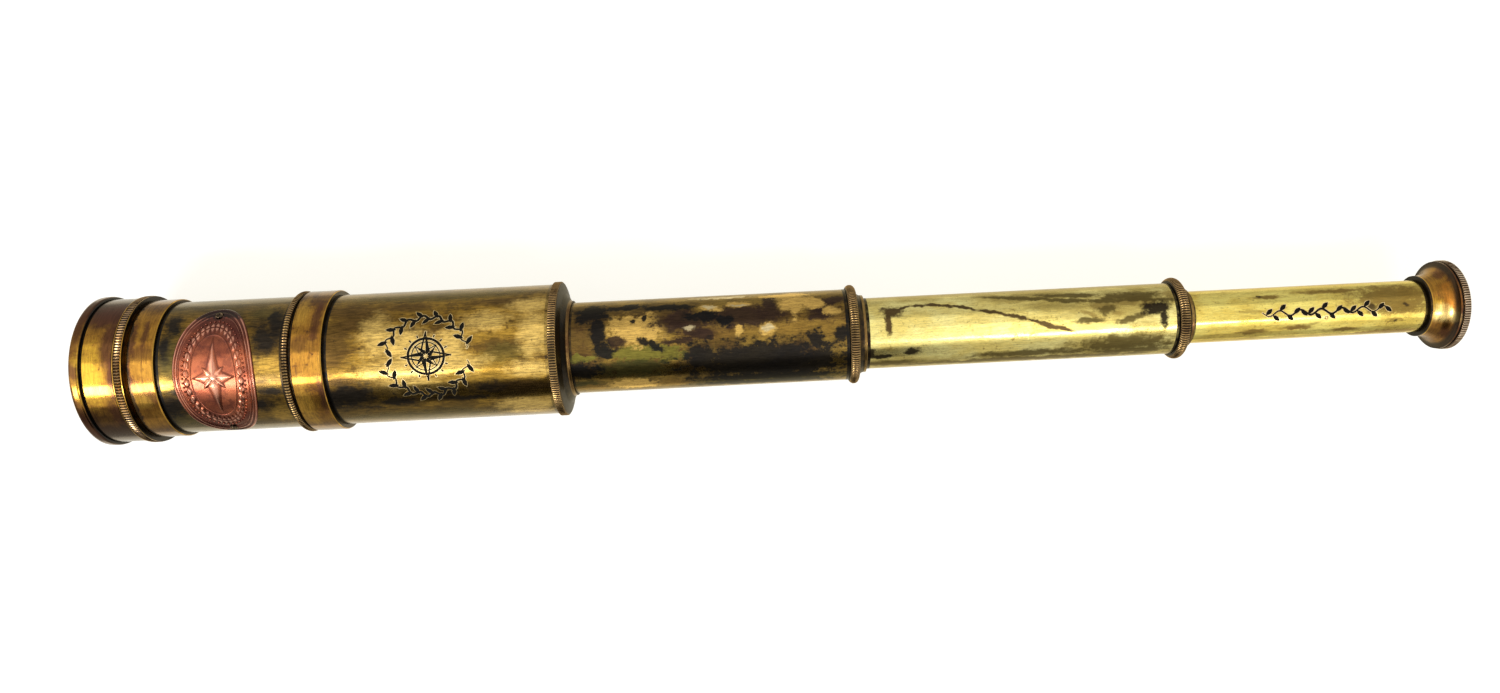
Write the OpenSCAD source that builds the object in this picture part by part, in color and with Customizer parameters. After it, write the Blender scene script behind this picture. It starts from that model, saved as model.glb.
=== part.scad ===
// Three-draw brass spyglass, pulled out to its full length.
// X is the optical axis, from the dust cap at the front to the eyecup at the back.
// The origin is on that axis, in the middle of the barrel's collar band.
// A radius is the outer one unless its name says bore, and every length runs along X.

/* [Draw tubes] */
// Overall length, pulled out: the middle draw tube shows what the other lengths leave of it
open_len = 457.65; // [430:0.05:520]
// How much the radius of the middle draw tube is over the thinnest one's
draw_2_step = 3.2; // [3:0.1:4]
// How much the radius of the thickest draw tube is over the middle one's
draw_1_step = 3.4; // [3:0.1:4]
// Wall of the thickest draw tube
draw_1_wall = 0.7; // [0.5:0.05:0.8]
// Wall of the middle draw tube
draw_2_wall = 0.6; // [0.5:0.05:0.7]
// Wall of the thinnest draw tube
draw_3_wall = 0.6; // [0.5:0.05:0.8]
// Length of the thickest draw tube that shows when it is pulled out
draw_1_shown = 92.7; // [70:0.1:96]
// Length of the thinnest draw tube that shows when it is pulled out
draw_3_shown = 78.8; // [60:0.1:95]
// Length of the thickest draw tube that stays in the barrel
draw_1_kept = 37.5; // [35:0.1:42]
// Length of the middle draw tube that stays in the thickest
draw_2_kept = 26.9; // [24:0.1:30]
// Length of the thinnest draw tube that stays in the middle one
draw_3_kept = 20.4; // [18:0.1:26]

/* [Barrel] */
// How much the radius of the barrel tube is over the thickest draw tube's
barrel_step = 6.6; // [6.2:0.1:7.5]
// Wall of the barrel tube and of the front tube
barrel_wall = 0.8; // [0.6:0.05:0.9]
// Length of the barrel tube that shows between the collar band and the end bush
barrel_shown = 72.9; // [60:0.1:90]
// How much the radius of the front tube is over the barrel tube's
front_step = 0.2; // [0.1:0.05:0.4]
// Length of the front tube that shows between the cell and the knurled ring
front_shown = 41.2; // [36:0.1:60]
// Length of the collar band
collar_len = 10; // [9:0.1:14]
// Wall of the collar band over its thread
collar_wall = 0.9; // [0.8:0.05:1.4]
// Length of the coupling's thread inside the collar band
coupling_thread_len = 5.5; // [4:0.1:6]
// Wall of the coupling under its thread
coupling_wall = 0.5; // [0.4:0.05:0.8]
// Length of the coupling's knurled ring
coupling_ring_len = 2.2; // [1.8:0.1:3]
// Groove between the knurled ring and the collar band
coupling_groove = 0.9; // [0.6:0.1:1.4]
// How much the knurled ring stands over the collar band
coupling_rise = 0.25; // [0.1:0.05:0.6]
// Length of solder seat that a tube end has in a collar or a cell
tube_seat = 5; // [3:0.1:5.5]

/* [Objective] */
// Radius of the objective's two lenses, from which the radii of all the tubes follow
objective_r = 19.95; // [18:0.05:22.5]
// Wall of the cell around the lenses
cell_lens_wall = 2.86; // [2.4:0.01:3.2]
// Length of the cell's band, which stays in sight when the cap is on
cell_band_len = 8.5; // [8:0.1:12]
// Wall of the cell's band over the front tube
cell_band_wall = 1.07; // [0.9:0.01:1.5]
// How much the radius of the cell's spigot, where the cap slides on, is over the front tube's
cell_spigot_step = 0.55; // [0.4:0.05:0.8]
// Length of the cell's spigot
cell_spigot_len = 11.9; // [11:0.1:14]
// Width of the shoulder that the lenses rest on
lens_shoulder = 1.2; // [0.8:0.1:2]
// Thickness of that shoulder
lens_shoulder_len = 2; // [1.2:0.1:3]
// Centre thickness of the crown lens
crown_len = 5.2; // [4.8:0.1:6]
// Centre thickness of the flint lens
flint_len = 1.8; // [1.5:0.1:2.5]
// Radius of curvature of the crown lens's front face
crown_front_curve = 140; // [120:1:200]
// Radius of curvature of the faces between crown and flint
crown_back_curve = 105; // [95:1:160]
// Length of the threaded ring that holds the lenses
lens_ring_len = 2.2; // [1.6:0.1:3]

/* [Dust cap] */
// Overall length of the cap
cap_len = 17; // [16.5:0.1:20]
// Wall of the cap's drum
cap_wall = 1.5; // [1.2:0.1:2]
// Thickness of the cap's front disc
cap_disc = 1.5; // [1:0.1:1.6]
// Length of the front rim
cap_rim_len = 3.3; // [2.6:0.1:4.5]
// How much the front rim stands over the drum
cap_rim_rise = 1; // [0.6:0.1:1.6]
// Length of the knurled ring at the cap's mouth
cap_knurl_len = 2.7; // [2.4:0.1:4]
// How much the knurled ring stands over the drum
cap_knurl_rise = 0.65; // [0.4:0.05:1]
// Gap left between the cap's mouth and the cell's band
cap_gap = 0.9; // [0.5:0.1:1.6]
// Width of the turned grooves beside the rim and the knurled ring
groove_len = 0.6; // [0.4:0.1:1]
// Depth of the turned grooves
groove_depth = 0.4; // [0.2:0.05:0.6]

/* [Badge] */
// Half length of the oval badge along the tube
badge_half_len = 13.15; // [10:0.05:16]
// Angle that the badge reaches to each side of its middle
badge_reach = 65; // [50:1:75]
// Angle of the badge's middle, from straight up towards -Y
badge_turn = 10; // [0:1:30]
// Thickness of the badge
badge_len = 0.5; // [0.3:0.05:0.8]
// Distance from the badge's left tip to the cell's band
badge_inset = 5.7; // [3.2:0.1:8]
// Angle from the badge's middle to each rivet
rivet_angle = 56; // [40:1:58]
// Radius of a rivet's head
rivet_head_r = 1.3; // [1:0.05:1.6]
// Height of a rivet's head
rivet_head_len = 0.6; // [0.4:0.05:0.9]
// Radius of a rivet's shank
rivet_r = 0.6; // [0.5:0.05:0.8]

/* [End bushes] */
// Length of the barrel bush's knurled flange
flange_len = 2.8; // [2.2:0.1:3.6]
// How much the flange stands over the barrel tube
flange_rise = 0.8; // [0.5:0.05:1.4]
// Length of the barrel bush's neck and its sloping shoulder
flange_neck_len = 3.15; // [2.6:0.05:5]
// Wall of the barrel bush's neck
flange_neck_wall = 0.65; // [0.5:0.05:1]
// How much the brow of the barrel bush's sloping shoulder is over its neck
shoulder_rise = 2.6; // [2:0.1:3.5]
// Distance from the flange to that brow
shoulder_len = 0.7; // [0.5:0.05:0.9]
// Size of the small slope at the foot of the shoulder
shoulder_foot = 0.5; // [0.3:0.05:0.6]
// Length of the barrel bush that is screwed into the barrel tube
flange_plug_len = 10; // [7:0.5:14]
// Length of the first draw's knurled ring
ring_1_len = 3.4; // [2.6:0.1:4.2]
// How much that ring stands over its draw tube
ring_1_rise = 1.4; // [0.8:0.1:1.8]
// Length of the first draw's neck
neck_1_len = 2.5; // [1.8:0.1:3.5]
// Length of the second draw's knurled ring
ring_2_len = 3.6; // [2.6:0.1:4.2]
// How much that ring stands over its draw tube
ring_2_rise = 1.8; // [0.8:0.1:2.2]
// Length of the second draw's neck
neck_2_len = 2.3; // [1.8:0.1:3.5]
// Wall of both necks
neck_wall = 1.05; // [0.8:0.05:1.3]
// Length of each draw bush that is screwed into its tube
plug_len = 7; // [5:0.5:9]
// Length of the solder seat of a guide sleeve in its bush
sleeve_seat = 9; // [6:0.5:10]
// Wall of the guide sleeves
sleeve_wall = 0.65; // [0.5:0.05:0.75]
// Width of the slits that let a guide sleeve grip
slit_w = 0.8; // [0.5:0.1:1.2]
// Number of slits in a guide sleeve
slit_count = 4; // [3:1:6]

/* [Stop rings] */
// Length of the first draw's stop ring
stop_1_len = 6; // [4:0.5:7]
// Thickness of its web
stop_1_web = 1.6; // [1.2:0.1:2.5]
// Wall of its hub and its skirt
stop_1_wall = 1.2; // [0.9:0.1:1.6]
// Length of the second draw's stop ring
stop_2_len = 6; // [4:0.5:7]
// Length of the third draw's stop ring
stop_3_len = 5; // [3:0.5:6]
// Thickness of the light stop in the first draw
baffle_len = 1.2; // [0.8:0.1:1.8]
// Width of that light stop's disc around its hole
baffle_w = 3.76; // [2.5:0.01:5]

/* [Erector and eyepiece] */
// Length of the erector tube
erector_len = 42; // [30:0.5:60]
// Distance from the third draw's inner end to the erector tube
erector_inset = 1; // [0.5:0.1:4]
// Wall of the erector tube and the eyepiece tube between their seats
cell_wall = 1.25; // [1.1:0.05:1.6]
// Wall of those tubes around a lens
cell_seat_wall = 0.75; // [0.5:0.05:0.9]
// Depth of each lens seat
cell_seat_len = 5.5; // [5:0.1:8]
// Centre thickness of the small lenses
small_lens_len = 3; // [2.6:0.1:3.4]
// Radius of curvature of the small lenses
small_lens_curve = 24; // [20:0.5:60]
// Length of the rings that hold the small lenses
small_ring_len = 1.6; // [1:0.1:2]
// Wall of those rings
small_ring_wall = 1; // [0.7:0.1:1.6]
// Thickness of the stops inside the erector and the eyepiece
stop_disc_len = 1; // [0.6:0.1:1.6]
// Width of the erector stop's disc around its hole
erector_stop_w = 4.47; // [3.5:0.01:4.9]
// Width of the field stop's disc around its hole
field_stop_w = 1.97; // [1.2:0.01:2.5]
// Length of the eyepiece tube
eyepiece_len = 30; // [24:0.5:40]

/* [Eyecup] */
// Length of the eyecup outside the third draw
eyecup_len = 10.7; // [10:0.1:13]
// Wall of the eyecup's neck
eyecup_neck_wall = 1.4; // [1:0.05:2]
// Length of the eyecup's neck
eyecup_neck_len = 0.8; // [0.4:0.1:2]
// How much the rim stands over the eyecup's neck
eyecup_flare = 4.85; // [4:0.05:6]
// Length of the round lip that ends the flare
eyecup_edge_len = 0.6; // [0.4:0.1:1]
// Length of the groove before the rim
eyecup_groove = 0.5; // [0.4:0.1:0.8]
// Length of the knurled rim
eyecup_rim_len = 2.4; // [1.8:0.1:3]
// Depth of the hollow that the eye rests in
eyecup_depth = 4.9; // [4.5:0.1:5.4]
// Thickness of the web between that hollow and the end of the third draw
eyecup_web = 1.4; // [1:0.1:2]
// Width of the rim's front face
eyecup_lip = 1.6; // [1:0.1:2.4]
// Radius of the hollow's flat floor
eyecup_floor_r = 9.2; // [8.8:0.1:10.5]
// Radius of the eye hole
eye_hole_r = 3.6; // [2.5:0.1:5]

/* [Clearances] */
// Radial clearance of parts that slide
run_fit = 0.05; // [0.02:0.01:0.08]
// Radial clearance of threads, solder seats and lens seats
seat_fit = 0.04; // [0.02:0.01:0.08]
// Gap between faces that meet when a draw is at its stop, or two pieces are screwed home
face_gap = 0.1; // [0.05:0.05:0.3]
// How far a cut reaches past what it cuts
cut_margin = 1; // [0.5:0.5:2]
// Chamfer of the bands and rings
chamfer = 0.3; // [0.15:0.05:0.4]

/* [Hidden] */
$fn = 96;
$fa = 3;

antique = [0.62, 0.47, 0.16];
amber = [0.67, 0.43, 0.12];
patina = [0.36, 0.31, 0.12];
pale_brass = [0.72, 0.64, 0.28];
copper = [0.70, 0.33, 0.22];
dark = [0.22, 0.17, 0.08];
black = [0.06, 0.06, 0.06];
crown_glass = [0.75, 0.86, 0.90];
flint_glass = [0.70, 0.82, 0.80];

// Radii, from the objective inwards
lens_seat_r = objective_r + seat_fit;
cell_spigot_r = lens_seat_r + cell_lens_wall;
front_r = cell_spigot_r - cell_spigot_step;
barrel_r = front_r - front_step;
draw_1_r = barrel_r - barrel_step;
draw_2_r = draw_1_r - draw_1_step;
draw_3_r = draw_2_r - draw_2_step;
draw_3_bore = draw_3_r - draw_3_wall;
draw_2_bore = draw_2_r - draw_2_wall;
draw_1_bore = draw_1_r - draw_1_wall;
barrel_bore = barrel_r - barrel_wall;
front_bore = front_r - barrel_wall;
coupling_bore = front_r + seat_fit;
coupling_thread_r = coupling_bore + coupling_wall;
coupling_root_r = coupling_thread_r - chamfer;
collar_bore = coupling_thread_r + seat_fit;
collar_r = collar_bore + collar_wall;
coupling_ring_r = collar_r + coupling_rise;
cell_tube_bore = front_r + seat_fit;
cell_band_r = cell_tube_bore + cell_band_wall;
cap_bore = cell_spigot_r + run_fit;
cap_r = cap_bore + cap_wall;
cap_rim_r = cap_r + cap_rim_rise;
cap_knurl_r = cap_r + cap_knurl_rise;
flange_r = barrel_r + flange_rise;
flange_neck_r = draw_1_r + run_fit + flange_neck_wall;
ring_1_r = draw_1_r + ring_1_rise;
ring_2_r = draw_2_r + ring_2_rise;
eyecup_neck_r = draw_3_r + seat_fit + eyecup_neck_wall;
eyecup_rim_r = eyecup_neck_r + eyecup_flare;
cell_r = draw_3_bore - seat_fit;
cell_bore = cell_r - cell_wall;
cell_seat_r = cell_r - cell_seat_wall;
small_lens_r = cell_seat_r - seat_fit;

// What the overall length leaves to the middle draw tube
front_len = cap_len + cap_gap + cell_band_len + front_shown + coupling_ring_len + coupling_groove;
barrel_len = collar_len + barrel_shown + flange_len + flange_neck_len;
bushes_len = ring_1_len + neck_1_len + ring_2_len + neck_2_len;
draw_2_shown = open_len - front_len - barrel_len - draw_1_shown - bushes_len - draw_3_shown - eyecup_len;

// Places along X, from the collar band towards the front
collar_x0 = -collar_len / 2;
collar_x1 = collar_len / 2;
coupling_ring_x1 = collar_x0 - coupling_groove;
coupling_ring_x0 = coupling_ring_x1 - coupling_ring_len;
coupling_thread_x1 = collar_x0 + coupling_thread_len;
front_x0 = coupling_ring_x0 - front_shown;
front_tube_x0 = front_x0 - tube_seat;
cell_band_x0 = front_x0 - cell_band_len;
cell_x0 = cell_band_x0 - cell_spigot_len;
cap_x1 = cell_band_x0 - cap_gap;
cap_x0 = cap_x1 - cap_len;
badge_x = front_x0 + badge_inset + badge_half_len;

// Places along X, from the collar band towards the eye
barrel_x0 = collar_x1 - tube_seat + face_gap / 2;
front_tube_x1 = barrel_x0 - face_gap;
flange_x0 = collar_x1 + barrel_shown;
flange_x1 = flange_x0 + flange_len + flange_neck_len;
ring_1_x0 = flange_x1 + draw_1_shown;
neck_1_x1 = ring_1_x0 + ring_1_len + neck_1_len;
ring_2_x0 = neck_1_x1 + draw_2_shown;
neck_2_x1 = ring_2_x0 + ring_2_len + neck_2_len;
eyecup_x0 = neck_2_x1 + draw_3_shown;
eyecup_x1 = eyecup_x0 + eyecup_len;
draw_1_x0 = flange_x1 - draw_1_kept;
draw_2_x0 = neck_1_x1 - draw_2_kept;
draw_3_x0 = neck_2_x1 - draw_3_kept;
eyecup_floor_x = eyecup_x1 - eyecup_depth;
eyecup_seat_x = eyecup_floor_x - eyecup_web;
erector_x0 = draw_3_x0 + erector_inset;
erector_x1 = erector_x0 + erector_len;
eyepiece_x1 = eyecup_seat_x - face_gap;
eyepiece_x0 = eyepiece_x1 - eyepiece_len;

// Depth of a sphere's cap of radius r on a sphere of radius curve
function sag(curve, r) = curve - sqrt(curve * curve - r * r);

// Points [radius, x] of a circular arc, for use in a turned outline
function arc_points(r, x, size, from, to, steps) =
    [for (i = [0:steps]) let (a = from + (to - from) * i / steps) [r + size * cos(a), x + size * sin(a)]];

// A solid turned about the X axis from an outline of [radius, x] points
module turned(outline) {
    rotate([0, 90, 0]) rotate_extrude() polygon(outline);
}

// A plain ring or tube from x0 to x1
module ring(x0, x1, outer, inner) {
    turned([[inner, x0], [outer, x0], [outer, x1], [inner, x1]]);
}

// A ring with its outer edges chamfered
module eased_ring(x0, x1, outer, inner) {
    turned([[inner, x0], [outer - chamfer, x0], [outer, x0 + chamfer],
            [outer, x1 - chamfer], [outer - chamfer, x1], [inner, x1]]);
}

// Depth of a lens's face at radius r: a curve of 0 is flat, and a negative one is hollow
function face_depth(curve, r) = curve == 0 ? 0 : sign(curve) * sag(abs(curve), r);

// A lens whose faces cross the axis at x0 and x1
module lens(x0, x1, r, front_curve, back_curve) {
    steps = 24;
    turned(concat(
        [for (i = [0:steps]) [r * i / steps, x0 + face_depth(front_curve, r * i / steps)]],
        [for (i = [steps:-1:0]) [r * i / steps, x1 - face_depth(back_curve, r * i / steps)]]));
}

// A plano-convex lens whose flat face is at x and whose dome points towards +X or -X
module plano_convex(x, r, curve, thickness, toward) {
    if (toward > 0) lens(x, x + thickness, r, 0, curve);
    else lens(x - thickness, x, r, curve, 0);
}

// A guide sleeve with slits that end short of its seat
module slit_sleeve(x0, x1, bore, slit_x1) {
    difference() {
        ring(x0, x1, bore + sleeve_wall, bore);
        for (i = [0:slit_count - 1])
            rotate([360 / slit_count * (i + 0.5), 0, 0])
                translate([x0 - cut_margin, -slit_w / 2, 0])
                    cube([slit_x1 - x0 + cut_margin, slit_w, bore + sleeve_wall + cut_margin]);
    }
}

// Outline of a draw's end bush, with a rounded ring, a neck and a plug inside the tube
module draw_bush(x0, ring_len, ring_r, neck_len, tube_bore, bore) {
    neck_r = bore + neck_wall;
    seat_r = bore + sleeve_wall + seat_fit;
    seat_x1 = x0 + sleeve_seat - plug_len;
    x1 = x0 + ring_len;
    round_r = ring_len / 2;
    turned(concat(
        [[seat_r, x0 - plug_len], [tube_bore - seat_fit, x0 - plug_len], [tube_bore - seat_fit, x0]],
        arc_points(ring_r - round_r, x0 + round_r, round_r, -90, 90, 16),
        [[neck_r + neck_len / 4, x1], [neck_r, x1 + neck_len / 2], [neck_r, x1 + neck_len],
         [bore, x1 + neck_len], [bore, seat_x1], [seat_r, seat_x1]]));
}

// The pull-off cap, with a rim at the front, a knurled ring at its mouth and two grooves
module dust_cap() {
    rim_x1 = cap_x0 + cap_rim_len;
    knurl_x0 = cap_x1 - cap_knurl_len;
    groove_r = cap_r - groove_depth;
    land_r = cap_bore - cap_wall;
    land_x = cell_x0 - face_gap;
    color(amber) turned([
        [0, cap_x0], [cap_rim_r - chamfer, cap_x0], [cap_rim_r, cap_x0 + chamfer],
        [cap_rim_r, rim_x1 - chamfer], [cap_rim_r - chamfer, rim_x1],
        [groove_r, rim_x1], [groove_r, rim_x1 + groove_len],
        [cap_r, rim_x1 + groove_len], [cap_r, knurl_x0 - groove_len],
        [groove_r, knurl_x0 - groove_len], [groove_r, knurl_x0],
        [cap_knurl_r - chamfer, knurl_x0], [cap_knurl_r, knurl_x0 + chamfer],
        [cap_knurl_r, cap_x1 - chamfer], [cap_knurl_r - chamfer, cap_x1],
        [cap_bore, cap_x1], [cap_bore, land_x], [land_r, land_x],
        [land_r, cap_x0 + cap_disc], [0, cap_x0 + cap_disc]]);
}

// The cell that is soldered to the front tube and holds the objective
module objective_cell() {
    aperture_r = lens_seat_r - lens_shoulder;
    shoulder_x0 = flint_x1;
    shoulder_x1 = shoulder_x0 + lens_shoulder_len;
    tube_stop_x = front_tube_x0 - face_gap;
    color(amber) turned([
        [lens_seat_r, cell_x0], [cell_spigot_r - chamfer, cell_x0],
        [cell_spigot_r, cell_x0 + chamfer], [cell_spigot_r, cell_band_x0],
        [cell_band_r - chamfer, cell_band_x0], [cell_band_r, cell_band_x0 + chamfer],
        [cell_band_r, front_x0 - chamfer], [cell_band_r - chamfer, front_x0],
        [cell_tube_bore, front_x0], [cell_tube_bore, tube_stop_x], [front_bore, tube_stop_x],
        [aperture_r, shoulder_x1], [aperture_r, shoulder_x0],
        [lens_seat_r, shoulder_x0]]);
}

// The lenses stack from the shoulder towards the front
lens_ring_recess = 0.4;
lens_ring_x0 = cell_x0 + lens_ring_recess;
lens_ring_x1 = lens_ring_x0 + lens_ring_len;
lens_ring_bore = objective_r - lens_shoulder;
crown_x0 = lens_ring_x1 - sag(crown_front_curve, lens_ring_bore) + face_gap / 2;
crown_x1 = crown_x0 + crown_len;
flint_x0 = crown_x1 + face_gap / 2;
flint_x1 = flint_x0 + flint_len;

module objective_crown_lens() {
    color(crown_glass) lens(crown_x0, crown_x1, objective_r, crown_front_curve, crown_back_curve);
}

module objective_flint_lens() {
    color(flint_glass) lens(flint_x0, flint_x1 - face_gap / 2, objective_r, -crown_back_curve, 0);
}

module objective_retaining_ring() {
    color(black) eased_ring(lens_ring_x0, lens_ring_x1, objective_r, lens_ring_bore);
}

// The tube between the cell and the coupling, drilled for the badge's rivets
module front_tube() {
    color(patina) difference() {
        ring(front_tube_x0, front_tube_x1, front_r, front_bore);
        rivet_holes();
    }
}

// Turns what is made pointing up at the badge's middle to an angle around the tube
module at_badge(angle) {
    translate([badge_x, 0, 0]) rotate([badge_turn + angle, 0, 0]) children();
}

module rivet_holes() {
    for (side = [-1, 1])
        at_badge(side * rivet_angle) cylinder(r = rivet_r + seat_fit, h = 2 * front_r);
}

// The oval plate, bent round the tube: its outline is an ellipse measured along the arc
module badge_plate() {
    inner = front_r + seat_fit;
    outer = inner + badge_len;
    steps = 72;
    oval = [for (i = [0:steps - 1]) let (t = 360 * i / steps)
        [badge_half_len * cos(t), outer * sin(badge_reach * sin(t))]];
    color(copper) difference() {
        intersection() {
            ring(badge_x - badge_half_len - cut_margin, badge_x + badge_half_len + cut_margin, outer, inner);
            at_badge(0) linear_extrude(height = 2 * outer) polygon(oval);
        }
        rivet_holes();
    }
}

module badge_rivets() {
    head_z = front_r + seat_fit + badge_len + face_gap / 2;
    shank_z = front_bore;
    dome_r = (rivet_head_r * rivet_head_r + rivet_head_len * rivet_head_len) / (2 * rivet_head_len);
    color(dark) for (side = [-1, 1]) at_badge(side * rivet_angle) {
        translate([0, 0, shank_z]) cylinder(r = rivet_r, h = head_z + rivet_head_len / 2 - shank_z);
        intersection() {
            translate([0, 0, head_z]) cylinder(r = rivet_head_r, h = rivet_head_len);
            translate([0, 0, head_z + rivet_head_len - dome_r]) sphere(r = dome_r);
        }
    }
}

// The knurled ring soldered to the front tube, whose thread screws into the collar band
module front_coupling() {
    round_r = coupling_ring_len / 2;
    color(dark) turned(concat(
        [[coupling_bore, coupling_ring_x0]],
        arc_points(coupling_ring_r - round_r, coupling_ring_x0 + round_r, round_r, -90, 90, 16),
        [[coupling_root_r, coupling_ring_x1], [coupling_root_r, collar_x0 + face_gap],
         [coupling_thread_r, collar_x0 + face_gap + chamfer], [coupling_thread_r, coupling_thread_x1],
         [coupling_bore, coupling_thread_x1]]));
}

// The smooth band soldered round the barrel tube's front end
module collar_band() {
    tube_stop_x = coupling_thread_x1 + face_gap;
    barrel_seat_r = barrel_r + seat_fit;
    color(amber) turned([
        [collar_bore, collar_x0], [collar_r - chamfer, collar_x0], [collar_r, collar_x0 + chamfer],
        [collar_r, collar_x1 - chamfer], [collar_r - chamfer, collar_x1],
        [barrel_seat_r, collar_x1], [barrel_seat_r, tube_stop_x], [collar_bore, tube_stop_x]]);
}

module barrel_tube() {
    color(antique) ring(barrel_x0, flange_x0 - face_gap, barrel_r, barrel_bore);
}

// The knurled flange that closes the barrel, with a hollow plug screwed into the tube
module barrel_end_bush() {
    bore = draw_1_r + run_fit;
    seat_r = bore + sleeve_wall + seat_fit;
    plug_r = barrel_bore - seat_fit;
    plug_x0 = flange_x0 - flange_plug_len;
    hub_r = seat_r + stop_1_wall;
    web_x0 = flange_x0 - stop_1_web;
    seat_x1 = flange_x0 + sleeve_seat - flange_plug_len;
    knurl_x1 = flange_x0 + flange_len;
    slope_x1 = flange_x1 - flange_neck_len / 3;
    color(dark) turned([
        [seat_r, plug_x0], [hub_r, plug_x0], [hub_r, web_x0],
        [plug_r - stop_1_wall, web_x0], [plug_r - stop_1_wall, plug_x0],
        [plug_r, plug_x0], [plug_r, flange_x0],
        [flange_r - chamfer, flange_x0], [flange_r, flange_x0 + chamfer],
        [flange_r, knurl_x1 - 2 * chamfer], [flange_r - 2 * chamfer, knurl_x1],
        [flange_neck_r + shoulder_rise, knurl_x1 + shoulder_len],
        [flange_neck_r + shoulder_foot, slope_x1], [flange_neck_r, slope_x1 + shoulder_foot],
        [flange_neck_r, flange_x1], [bore, flange_x1],
        [bore, seat_x1], [seat_r, seat_x1]]);
}

module barrel_guide_sleeve() {
    x1 = flange_x0 + sleeve_seat - flange_plug_len - face_gap;
    color(pale_brass) slit_sleeve(draw_1_x0 + stop_1_len + face_gap, x1, draw_1_r + run_fit,
        flange_x0 - flange_plug_len);
}

module draw_tube_1() {
    color(patina) ring(draw_1_x0, ring_1_x0 - face_gap, draw_1_r, draw_1_bore);
}

// The ring on the inner end of draw 1, which runs in the barrel and meets the sleeve
module draw_1_stop_ring() {
    inner = draw_1_r + seat_fit;
    outer = barrel_bore - run_fit;
    x1 = draw_1_x0 + stop_1_len;
    color(antique) turned([
        [inner, draw_1_x0], [outer, draw_1_x0], [outer, x1], [outer - stop_1_wall, x1],
        [outer - stop_1_wall, draw_1_x0 + stop_1_web], [inner + stop_1_wall, draw_1_x0 + stop_1_web],
        [inner + stop_1_wall, x1], [inner, x1]]);
}

module draw_1_light_stop() {
    disc_r = draw_1_bore - seat_fit;
    color(black) ring(draw_1_x0, draw_1_x0 + baffle_len, disc_r, disc_r - baffle_w);
}

module draw_1_end_bush() {
    color(dark) draw_bush(ring_1_x0, ring_1_len, ring_1_r, neck_1_len, draw_1_bore, draw_2_r + run_fit);
}

module draw_1_guide_sleeve() {
    color(pale_brass) slit_sleeve(draw_2_x0 + stop_2_len + face_gap,
        ring_1_x0 + sleeve_seat - plug_len - face_gap, draw_2_r + run_fit, ring_1_x0 - plug_len);
}

module draw_tube_2() {
    color(pale_brass) ring(draw_2_x0, ring_2_x0 - face_gap, draw_2_r, draw_2_bore);
}

module draw_2_stop_ring() {
    color(antique) ring(draw_2_x0, draw_2_x0 + stop_2_len, draw_1_bore - run_fit, draw_2_r + seat_fit);
}

module draw_2_end_bush() {
    color(dark) draw_bush(ring_2_x0, ring_2_len, ring_2_r, neck_2_len, draw_2_bore, draw_3_r + run_fit);
}

module draw_2_guide_sleeve() {
    color(pale_brass) slit_sleeve(draw_3_x0 + stop_3_len + face_gap,
        ring_2_x0 + sleeve_seat - plug_len - face_gap, draw_3_r + run_fit, ring_2_x0 - plug_len);
}

module draw_tube_3() {
    color(pale_brass) ring(draw_3_x0, eyecup_seat_x - face_gap, draw_3_r, draw_3_bore);
}

module draw_3_stop_ring() {
    color(antique) ring(draw_3_x0, draw_3_x0 + stop_3_len, draw_2_bore - run_fit, draw_3_r + seat_fit);
}

// A tube with a lens seat turned into each end
module lens_tube(x0, x1) {
    turned([
        [cell_seat_r, x0], [cell_r, x0], [cell_r, x1], [cell_seat_r, x1],
        [cell_seat_r, x1 - cell_seat_len], [cell_bore, x1 - cell_seat_len],
        [cell_bore, x0 + cell_seat_len], [cell_seat_r, x0 + cell_seat_len]]);
}

// A ring in a lens seat, against the lens on its flat side
module lens_ring(x, toward) {
    far = x + toward * small_ring_len;
    ring(min(x, far), max(x, far), small_lens_r, small_lens_r - small_ring_wall);
}

// How far a small lens's flat face is from the shoulder that its dome rests on
small_lens_seat = small_lens_len - sag(small_lens_curve, cell_bore) + face_gap / 2;

module erector_tube() {
    color(pale_brass) lens_tube(erector_x0, erector_x1);
}

module erector_front_lens() {
    flat_x = erector_x0 + cell_seat_len - small_lens_seat;
    color(crown_glass) plano_convex(flat_x, small_lens_r, small_lens_curve, small_lens_len, 1);
}

module erector_rear_lens() {
    flat_x = erector_x1 - cell_seat_len + small_lens_seat;
    color(crown_glass) plano_convex(flat_x, small_lens_r, small_lens_curve, small_lens_len, -1);
}

module erector_light_stop() {
    x = (erector_x0 + erector_x1) / 2;
    disc_r = cell_bore - seat_fit;
    color(black) ring(x, x + stop_disc_len, disc_r, disc_r - erector_stop_w);
}

module erector_retaining_rings() {
    front_flat_x = erector_x0 + cell_seat_len - small_lens_seat - face_gap / 2;
    rear_flat_x = erector_x1 - cell_seat_len + small_lens_seat + face_gap / 2;
    color(dark) {
        lens_ring(front_flat_x, -1);
        lens_ring(rear_flat_x, 1);
    }
}

module eyepiece_tube() {
    color(pale_brass) lens_tube(eyepiece_x0, eyepiece_x1);
}

module field_lens() {
    flat_x = eyepiece_x0 + cell_seat_len - small_lens_seat;
    color(crown_glass) plano_convex(flat_x, small_lens_r, small_lens_curve, small_lens_len, 1);
}

module field_lens_ring() {
    flat_x = eyepiece_x0 + cell_seat_len - small_lens_seat - face_gap / 2;
    color(dark) lens_ring(flat_x, -1);
}

module field_stop() {
    x = (eyepiece_x0 + eyepiece_x1) / 2;
    disc_r = cell_bore - seat_fit;
    color(black) ring(x, x + stop_disc_len, disc_r, disc_r - field_stop_w);
}

module eye_lens() {
    flat_x = eyepiece_x1 - cell_seat_len + small_lens_seat;
    color(crown_glass) plano_convex(flat_x, small_lens_r, small_lens_curve, small_lens_len, -1);
}

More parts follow.
